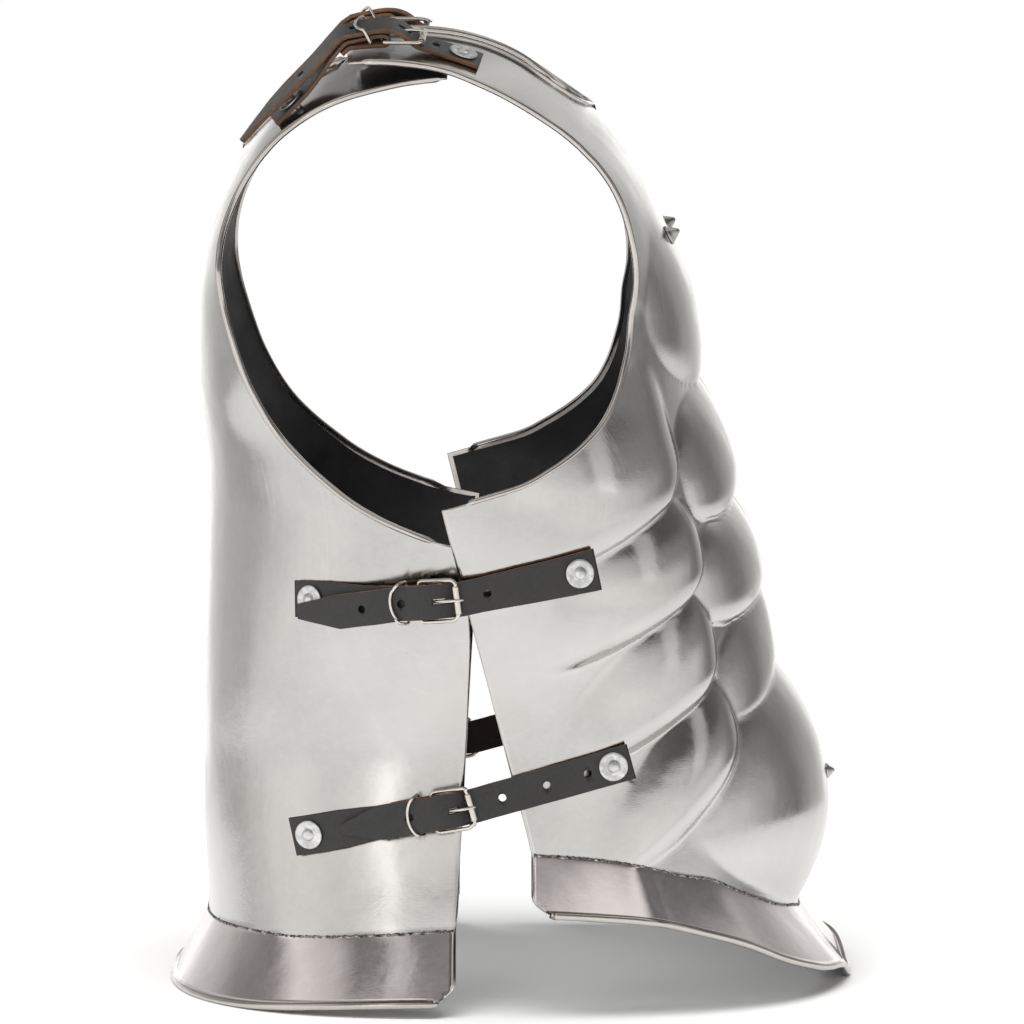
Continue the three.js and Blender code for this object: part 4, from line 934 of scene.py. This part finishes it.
def carve(obj, cutters, mat_index):
    """Cuts the holes and keeps the result."""
    verts, faces = [], []
    for v, f in cutters:
        b = len(verts)
        verts.extend(v)
        faces.extend([tuple(x + b for x in q) for q in f])
    tool = new_object("tool", np.array(verts), faces, [mat_index] * len(faces), list(obj.data.materials), smooth=False)
    m = obj.modifiers.new("cut", "BOOLEAN")
    m.operation = "DIFFERENCE"
    m.solver = "EXACT"
    m.object = tool
    dg = bpy.context.evaluated_depsgraph_get()
    me = bpy.data.meshes.new_from_object(obj.evaluated_get(dg))
    obj.modifiers.clear()
    old = obj.data
    obj.data = me
    bpy.data.meshes.remove(old)
    bpy.data.objects.remove(tool, do_unlink=True)


def mirror_mesh(v):
    q = np.array(v, float).copy()
    q[:, 0] *= -1
    return q


def both_sides(name_of, verts, faces, mats, materials, slot, cutters=None, cut_mat=1):
    for side in ("left", "right"):
        v, f = (verts, faces) if side == "left" else (mirror_mesh(verts), [tuple(q[::-1]) for q in faces])
        nm = name_of(side)
        o = new_object(nm + "_look", v, f, mats, materials)
        if cutters:
            cs = cutters if side == "left" else [(mirror_mesh(cv), [tuple(q[::-1]) for q in cf]) for cv, cf in cutters]
            carve(o, cs, cut_mat)
        give(o, slot, nm)


for L in LANES:
    nm = L["name"]
    ln = Lane(L, L["path"], L["also"])
    loop_ln = Lane(L, L["also"], L["path"]) if L["also"] else ln
    rise = runs(RISE + L["tail"])
    bar = L["bar"]
    tip = L["tip"]
    # long strap
    line = resample([(s, rise(s - bar)) for s in np.arange(0, tip + 0.01, 0.75)], 1.5)

    def long_half(s, k):
        to_tip = tip - s
        w = L["front"] + (9 - L["front"]) * min(1, s / (bar - 30))
        if to_tip < 21:
            q = max(to_tip, 0) / 21
            if nm == "side_upper":
                return (2.0 + (w - 2.0) * q - 0.0, w - 4.5 * (1 - q)) if False else (w * q + 1.2 * (1 - q), w - 2.5 * (1 - q))
            w = 2.2 + (w - 2.2) * q
        return w, w
    v, f, m = ribbon(ln, line, STRAP_T, long_half, 1.7)
    cuts = []
    for s in L["holes"]:
        o, n = ln.map(s, 0, 0), unit(ln.map(s, 0, 1) - ln.map(s, 0, 0))
        cuts.append(cylinder_cutter(o, n, 2.1, -2, 18))
    cuts.append(block_cutter(ln, bar - 13.6, bar - 7.6, 3, 15, 1.5))
    # hole and slot walls take the black grain leather (last argument 0) instead of the brown cut edge: painted shade
    # in the holes
    both_sides(lambda sd: f"{nm}_{sd}_strap", v, f, m, [M_LEATHER, M_FIBRE, M_FLESH if nm.startswith("side") else M_FIBRE], "strap_leather", cuts, 0)
    # short strap round the buckle bar
    path = [(s, LOOP[0][1]) for s in np.arange(L["loop_end"], bar + 44, -4)] + [(bar + s, h) for s, h in LOOP]
    line2 = resample(chaikin(path, times=3), 0.9)

    def loop_half(s, k):
        w = 8.7 + (L["loop_half"] - 8.7) * min(1, max(0, (s - bar - 30) / 20))
        return w, w
    v, f, m = ribbon(loop_ln, line2, LOOP_T, loop_half, 5.1, flip=True)
    cuts = [block_cutter(loop_ln, bar - 6, bar + 4, 1, 14, 1.7)]
    # the slot walls take the black grain leather (last argument 0) instead of the brown cut edge: painted shade in the
    # slot
    both_sides(lambda sd: f"{nm}_{sd}_buckle_strap", v, f, m, [M_LEATHER, M_FIBRE, M_FLESH if nm.startswith("side") else M_FIBRE], "strap_leather", cuts, 0)
    # buckle frame
    ring = []
    for cs, cw, g0 in ((0, 1, 0), (-1, 1, 90), (-1, -1, 180), (0, -1, 270)):
        rc = 3.4 if cs else 1.8
        for g in (0, 15, 30, 45, 60, 75, 90):
            ang = (g0 + g) * RAD
            s = (-PITCH + rc if cs else -rc) + rc * math.cos(ang)
            w = cw * (FRAME_HALF - rc) + rc * math.sin(ang)
            ring.append(ln.map(bar + s, w, BAR_H + (ROLLER_H - BAR_H) * (-s / PITCH)))
    ring = np.array(ring)
    dense = []
    for i in range(len(ring)):
        a, b = ring[i], ring[(i + 1) % len(ring)]
        parts = max(1, int(np.linalg.norm(b - a) / 1.5))
        dense += [a + (b - a) * k / parts for k in range(parts)]
    v, f = wire(dense, WIRE_R, True, 16)
    both_sides(lambda sd: f"{nm}_{sd}_buckle_frame", v, f, None, [M_NICKEL], "buckle_nickel")
    # roller, with its rolled seam ends
    a, b = ln.map(bar - PITCH, -7.2, ROLLER_H), ln.map(bar - PITCH, 7.2, ROLLER_H)
    length = float(np.linalg.norm(b - a))
    rr = ROLLER_R
    prof = [(WIRE_R + 0.3, 0.25), (WIRE_R + 0.34, 0.02), (rr - 0.25, 0), (rr - 0.05, 0.12), (rr, 0.4), (rr, 0.9)]
    prof += [(rr, length * q) for q in (0.2, 0.4, 0.6, 0.8)]
    prof += [(rr, length - 0.9), (rr, length - 0.4), (rr - 0.05, length - 0.12), (rr - 0.25, length), (WIRE_R + 0.34, length - 0.02), (WIRE_R + 0.3, length - 0.25), (WIRE_R + 0.3, 0.25)]
    v, f = lathe(prof, a, b - a, 28)
    both_sides(lambda sd: f"{nm}_{sd}_roller", v, f, None, [M_NICKEL], "buckle_nickel")
    # prong
    eye = WIRE_R + PRONG_R + 0.3
    top = ROLLER_H + ROLLER_R + PRONG_R + 0.3
    pr = [(eye * math.cos(g * RAD), BAR_H + eye * math.sin(g * RAD)) for g in (215, 235, 255, 275, 295, 315, 335, 355, 15, 35, 55, 75, 90)]
    pr += [(-4, BAR_H + eye), (-9, BAR_H + eye + (top - BAR_H - eye) * 0.3), (-14, top - 0.2), (-PITCH, top), (-PITCH - 2.6, top - 0.35)]
    pl = resample(chaikin(pr, times=2), 0.7)
    v, f = wire([ln.map(bar + s, 0, h) for s, h in pl], PRONG_R, False, 14, lambda t: 1.12 if t < 0.8 else 1.12 - 0.5 * (t - 0.8) / 0.2)
    both_sides(lambda sd: f"{nm}_{sd}_prong", v, f, None, [M_NICKEL], "buckle_nickel")
    # keeper ring
    kp = [(6.6, w, 5.5) for w in (-8, -4, 0, 4, 8)]
    for g in range(0, 181, 9):
        q = g * RAD
        lift = min(1, math.sin(q) / 0.42)
        d = 6.6 + 7 * math.sin(q)
        kp.append((d, 10.9 * math.cos(q), 5.5 + (rise(d) + STRAP_T / 2 + KEEPER_R + 0.65 - 5.5) * lift))
    kp = chaikin(kp, closed=True, times=2)
    v, f = wire([ln.map(bar + s, w, h) for s, w, h in kp], KEEPER_R, True, 12)
    both_sides(lambda sd: f"{nm}_{sd}_keeper", v, f, None, [M_NICKEL], "buckle_nickel")

    # rivets
    def rivet(lane_, s, strap_top, tr, key, seed):
        o, n = lane_.map(s, 0, 0), unit(lane_.map(s, 0, 1) - lane_.map(s, 0, 0))
        h0 = hit(tr, o + n * 30, -n)
        lvl = float((h0 - o).dot(n)) if h0 is not None else 0.0
        w0 = strap_top + 0.5
        foot = lvl - SHEET - 0.5
        prof = [(0, foot - 1.3), (2.2, foot - 1.25), (3.3, foot - 0.9), (3.8, foot - 0.4), (3.8, foot), (SHANK_R, foot), (SHANK_R, w0),
                (WASHER_R - 0.25, w0), (WASHER_R, w0 + 0.2), (WASHER_R, w0 + 0.65), (WASHER_R - 0.35, w0 + 1.0), (WASHER_R - 1.2, w0 + 1.12),
                (5.2, w0 + 1.0), (4.0, w0 + 0.85), (3.3, w0 + 0.8), (3.15, w0 + 1.15), (2.9, w0 + 1.75), (2.3, w0 + 2.3), (1.4, w0 + 2.65), (0.6, w0 + 2.78), (0, w0 + 2.8)]
        v_, f_ = lathe(prof, o, n, 48, wobble=0.012, seed=seed)
        both_sides(lambda sd: f"{nm}_{sd}_{key}", v_, f_, None, [M_ZINC], "washer_zinc")
    rivet(ln, L["front_rivet"], 1.55 + STRAP_T / 2, trees[0], "front_rivet", 1)
    rivet(loop_ln, L["loop_end"] - L["loop_rivet"], 1.9 + LOOP_T / 2, trees[1], "back_rivet", 4)


# ------------------------------------------------------------------ studs
def stud(v, angle, radius, height):
    a = angle * RAD
    p = breast_skin.point(v, a)
    n = unit(np.cross(breast_skin.point(v, a + 0.02) - breast_skin.point(v, a - 0.02), breast_skin.point(v + 2, a) - breast_skin.point(v - 2, a)))
    h0 = hit(trees[0], p + n * 30, -n)
    lvl = float((h0 - p).dot(n))
    b = lvl + 0.15
    prof = [(0, lvl - 2.9), (2.6, lvl - 2.8), (3.0, lvl - 2.4), (3.0, lvl - 1.7), (1.5, lvl - 1.7), (1.5, b), (radius * 0.96, b), (radius, b + 0.25), (radius * 0.97, b + 0.75),
            (radius * 0.80, b + 1.5), (radius * 0.62, b + height * 0.45), (radius * 0.40, b + height * 0.72), (radius * 0.20, b + height * 0.93), (radius * 0.08, b + height * 0.99), (0, b + height)]
    return lathe(prof, p, n, 40)


v, f = stud(40, 21.5, 5.4, 6.5)
both_sides(lambda sd: f"nipple_stud_{sd}", v, f, None, [M_STUD], "stud_metal")
v, f = stud(-257, 0, 4.2, 4.6)
give(new_object("navel_stud_look", v, f, None, [M_STUD]), "stud_metal", "navel_stud")


# ------------------------------------------------------------------ weld beads along the hem seams
def weld(tag, skin, deg0, deg1, seed):
    degs = np.arange(deg0, deg1, 0.22)
    pts, rad = [], []
    P = skin.point(skin.seam(np.abs(degs)), degs * RAD)
    Nn = skin.normal(skin.seam(np.abs(degs)), np.abs(degs) * RAD)
    Nn[:, 0] *= np.sign(degs) * 1.0
    Nn[:, 0] = np.where(degs < 0, -np.abs(Nn[:, 0]), np.abs(Nn[:, 0]))
    for i, d in enumerate(degs):
        q = noise.noise(Vector((d * 1.9, seed, 0)))
        r = 0.80 + 0.50 * q + 0.42 * noise.noise(Vector((d * 6.0, seed, 5)))
        jz = 0.7 * noise.noise(Vector((d * 1.1, seed, 9)))
        pts.append(P[i] + Nn[i] * (SHEET / 2 - 0.15) + np.array([0, 0, jz - 0.2]))
        rad.append(max(0.28, r))
    rad = np.array(rad)
    v_, f_ = wire(pts, 1.0, False, 9, lambda t: float(np.interp(t, np.linspace(0, 1, len(rad)), rad)))
    o = new_object(tag, v_, f_, None, [M_WELD])
    give(o, "plate_steel")


weld("breast_hem_weld", breast_skin, -89.6, 89.6, 2.0)
weld("back_hem_weld", back_skin, -89.6, 89.6, 8.0)

# ------------------------------------------------------------------ stage
floor_mat = Mat("floor_pale")
fc = floor_mat.ramp(floor_mat.noise(0.8, detail=3), [(0.3, (0.90, 0.90, 0.90)), (0.7, (0.93, 0.93, 0.925))])
far = floor_mat.t.nodes.new("ShaderNodeVectorMath")
far.operation = "LENGTH"
floor_mat.link(floor_mat.coord.outputs["Object"], far.inputs[0])
fade = floor_mat.range(far.outputs["Value"], 0.35, 1.0, 0.0, 1.0)
floor_mat.set("Base Color", floor_mat.mix(fade, fc, (0, 0, 0)))
floor_mat.set("Specular IOR Level", 0.0)
floor_mat.set("Roughness", 1.0)
floor_mat.set("Emission Color", (1.0, 1.0, 1.0))
floor_mat.set("Emission Strength", fade)
bpy.ops.mesh.primitive_circle_add(vertices=128, radius=1.05, fill_type="NGON", location=(0, 0, -0.0002))
floor = bpy.context.object
floor.name = "floor"
floor.data.materials.append(floor_mat.m)

# A light tent: brightness by direction round the object, white behind it.
world = bpy.data.worlds.new("studio")
bpy.context.scene.world = world
world.use_nodes = True
wt = world.node_tree
bg = wt.nodes["Background"]
wtc = wt.nodes.new("ShaderNodeTexCoord")
sep = wt.nodes.new("ShaderNodeSeparateXYZ")
wt.links.new(wtc.outputs["Generated"], sep.inputs[0])


def wmath(op, a, b=None):
    n = wt.nodes.new("ShaderNodeMath")
    n.operation = op
    for i, q in enumerate((a, b)):
        if q is None:
            continue
        if isinstance(q, (int, float)):
            n.inputs[i].default_value = q
        else:
            wt.links.new(q, n.inputs[i])
    return n.outputs[0]


def wrange(q, lo, hi):
    n = wt.nodes.new("ShaderNodeMapRange")
    n.interpolation_type = "SMOOTHSTEP"
    n.inputs["From Min"].default_value = lo
    n.inputs["From Max"].default_value = hi
    wt.links.new(q, n.inputs["Value"])
    return n.outputs["Result"]


# turn: 0 straight behind on the breast's side, 0.5 the camera's side, 1 straight behind on the back's side
turn = wmath("ADD", wmath("MULTIPLY", wmath("ARCTAN2", sep.outputs["Y"], wmath("MULTIPLY", sep.outputs["X"], -1.0)), 1 / (2 * math.pi)), 0.5)


def band(stops):
    n = wt.nodes.new("ShaderNodeValToRGB")
    n.color_ramp.interpolation = "EASE"
    e = n.color_ramp.elements
    while len(e) < len(stops):
        e.new(0.5)
    for k, (deg, lum) in zip(e, stops):
        k.position = (deg + 180) / 360
        k.color = (lum * 0.5, lum * 0.496, lum * 0.489, 1)
    wt.links.new(turn, n.inputs["Fac"])
    return n.outputs["Color"]


def wmix(f, a, b):
    n = wt.nodes.new("ShaderNodeMix")
    n.data_type = "RGBA"
    wt.links.new(f, n.inputs[0])
    wt.links.new(a, n.inputs[6])
    wt.links.new(b, n.inputs[7])
    return n.outputs[2]


LOW = [(-180, 0.6), (-160, 0.55), (-140, 0.95), (-100, 1.0), (-60, 1.17), (-40, 1.22), (-15, 1.06), (0, 1.04), (20, 1.2), (60, 1.17),
       (98, 1.08), (118, 0.56), (140, 0.52), (160, 0.7), (180, 0.7)]
LEVEL = [(-180, 1.65), (-165, 1.25), (-155, 0.72), (-140, 0.48), (-122, 0.26), (-108, 0.34), (-98, 0.56), (-80, 0.87), (-60, 1.0), (-40, 1.13),
         (-20, 1.2), (0, 1.06), (11, 1.04), (19, 1.45), (29, 1.2), (45, 1.06), (60, 1.2), (82, 1.12), (100, 0.90), (120, 0.66),
         (140, 0.68), (152, 0.85), (166, 1.4), (180, 1.65)]
MIDDLE = [(-180, 0.8), (-160, 0.80), (-140, 0.36), (-120, 0.24), (-100, 0.31), (-80, 0.36), (-58, 0.36), (-38, 0.85), (-15, 1.02), (0, 1.1),
          (20, 1.35), (40, 1.08), (82, 1.17), (97, 0.25), (120, 0.37), (140, 0.68), (162, 0.58), (180, 0.4)]
HIGH = [(-180, 0.3), (-160, 0.87), (-140, 0.62), (-120, 0.20), (-100, 0.16), (-80, 0.12), (-40, 0.12), (-20, 0.15), (0, 0.26), (40, 0.24),
        (60, 0.70), (80, 0.92), (97, 0.24), (120, 0.27), (140, 0.70), (160, 0.32), (180, 0.12)]
TOP = [(-180, 0.5), (-120, 0.80), (-100, 1.0), (-80, 1.0), (-60, 0.70), (-20, 0.40), (0, 0.50), (20, 1.0), (40, 1.2), (60, 0.8), (120, 0.42), (180, 0.4)]
z = sep.outputs["Z"]
env = wmix(wrange(z, -0.26, -0.06), band(LOW), band(LEVEL))
env = wmix(wrange(z, 0.10, 0.28), env, band(MIDDLE))
env = wmix(wrange(z, 0.33, 0.50), env, band(HIGH))
env = wmix(wrange(z, 0.78, 0.94), env, band(TOP))
wt.links.new(env, bg.inputs["Color"])
bg.inputs["Strength"].default_value = 2.0
bg2 = wt.nodes.new("ShaderNodeBackground")
bg2.inputs["Color"].default_value = (1.0, 1.0, 1.0, 1)
lp = wt.nodes.new("ShaderNodeLightPath")
ms = wt.nodes.new("ShaderNodeMixShader")
wt.links.new(lp.outputs["Is Camera Ray"], ms.inputs[0])
wt.links.new(bg.outputs[0], ms.inputs[1])
wt.links.new(bg2.outputs[0], ms.inputs[2])
wt.links.new(ms.outputs[0], wt.nodes["World Output"].inputs["Surface"])


def area(name, loc, target, size, power, color=(1, 1, 1), size_y=None, gloss=True):
    d = bpy.data.lights.new(name, "AREA")
    d.energy = power
    d.color = color
    d.shape = "RECTANGLE"
    d.size = size
    d.size_y = size_y or size
    o = bpy.data.objects.new(name, d)
    bpy.context.scene.collection.objects.link(o)
    o.location = loc
    o.rotation_euler = (Vector(target) - Vector(loc)).to_track_quat("-Z", "Y").to_euler()
    o.visible_glossy = gloss
    return o


area("overhead_softbox", (-0.3, 0.1, 2.6), (0, 0, 0), 2.6, 74, gloss=False)
area("strip_left", (-1.13, 0.40, 0.60), (0, 0.05, 0.35), 0.17, 0.36, size_y=1.4)
area("strip_right", (-0.70, -0.98, 0.95), (0, -0.05, 0.3), 0.32, 0.62, size_y=1.2)
area("side_softbox", (-2.6, 0.9, 1.5), (0, 0, 0.25), 1.2, 16, gloss=False)

cam = bpy.data.cameras.new("camera")
cam.sensor_width = 36
cam.lens = 36 * 8333 / 1024
cam.clip_end = 200
cam_o = bpy.data.objects.new("camera", cam)
bpy.context.scene.collection.objects.link(cam_o)
E = 5 * RAD
aim = Vector((0, -MID_Y * MM, DATUM_Z * MM))
cam_o.location = aim + Vector((-4.5 * math.cos(E), 0, 4.5 * math.sin(E)))
cam_o.rotation_euler = (aim - cam_o.location).to_track_quat("-Z", "Y").to_euler()
bpy.context.scene.camera = cam_o
bpy.context.scene.view_settings.view_transform = "Standard"
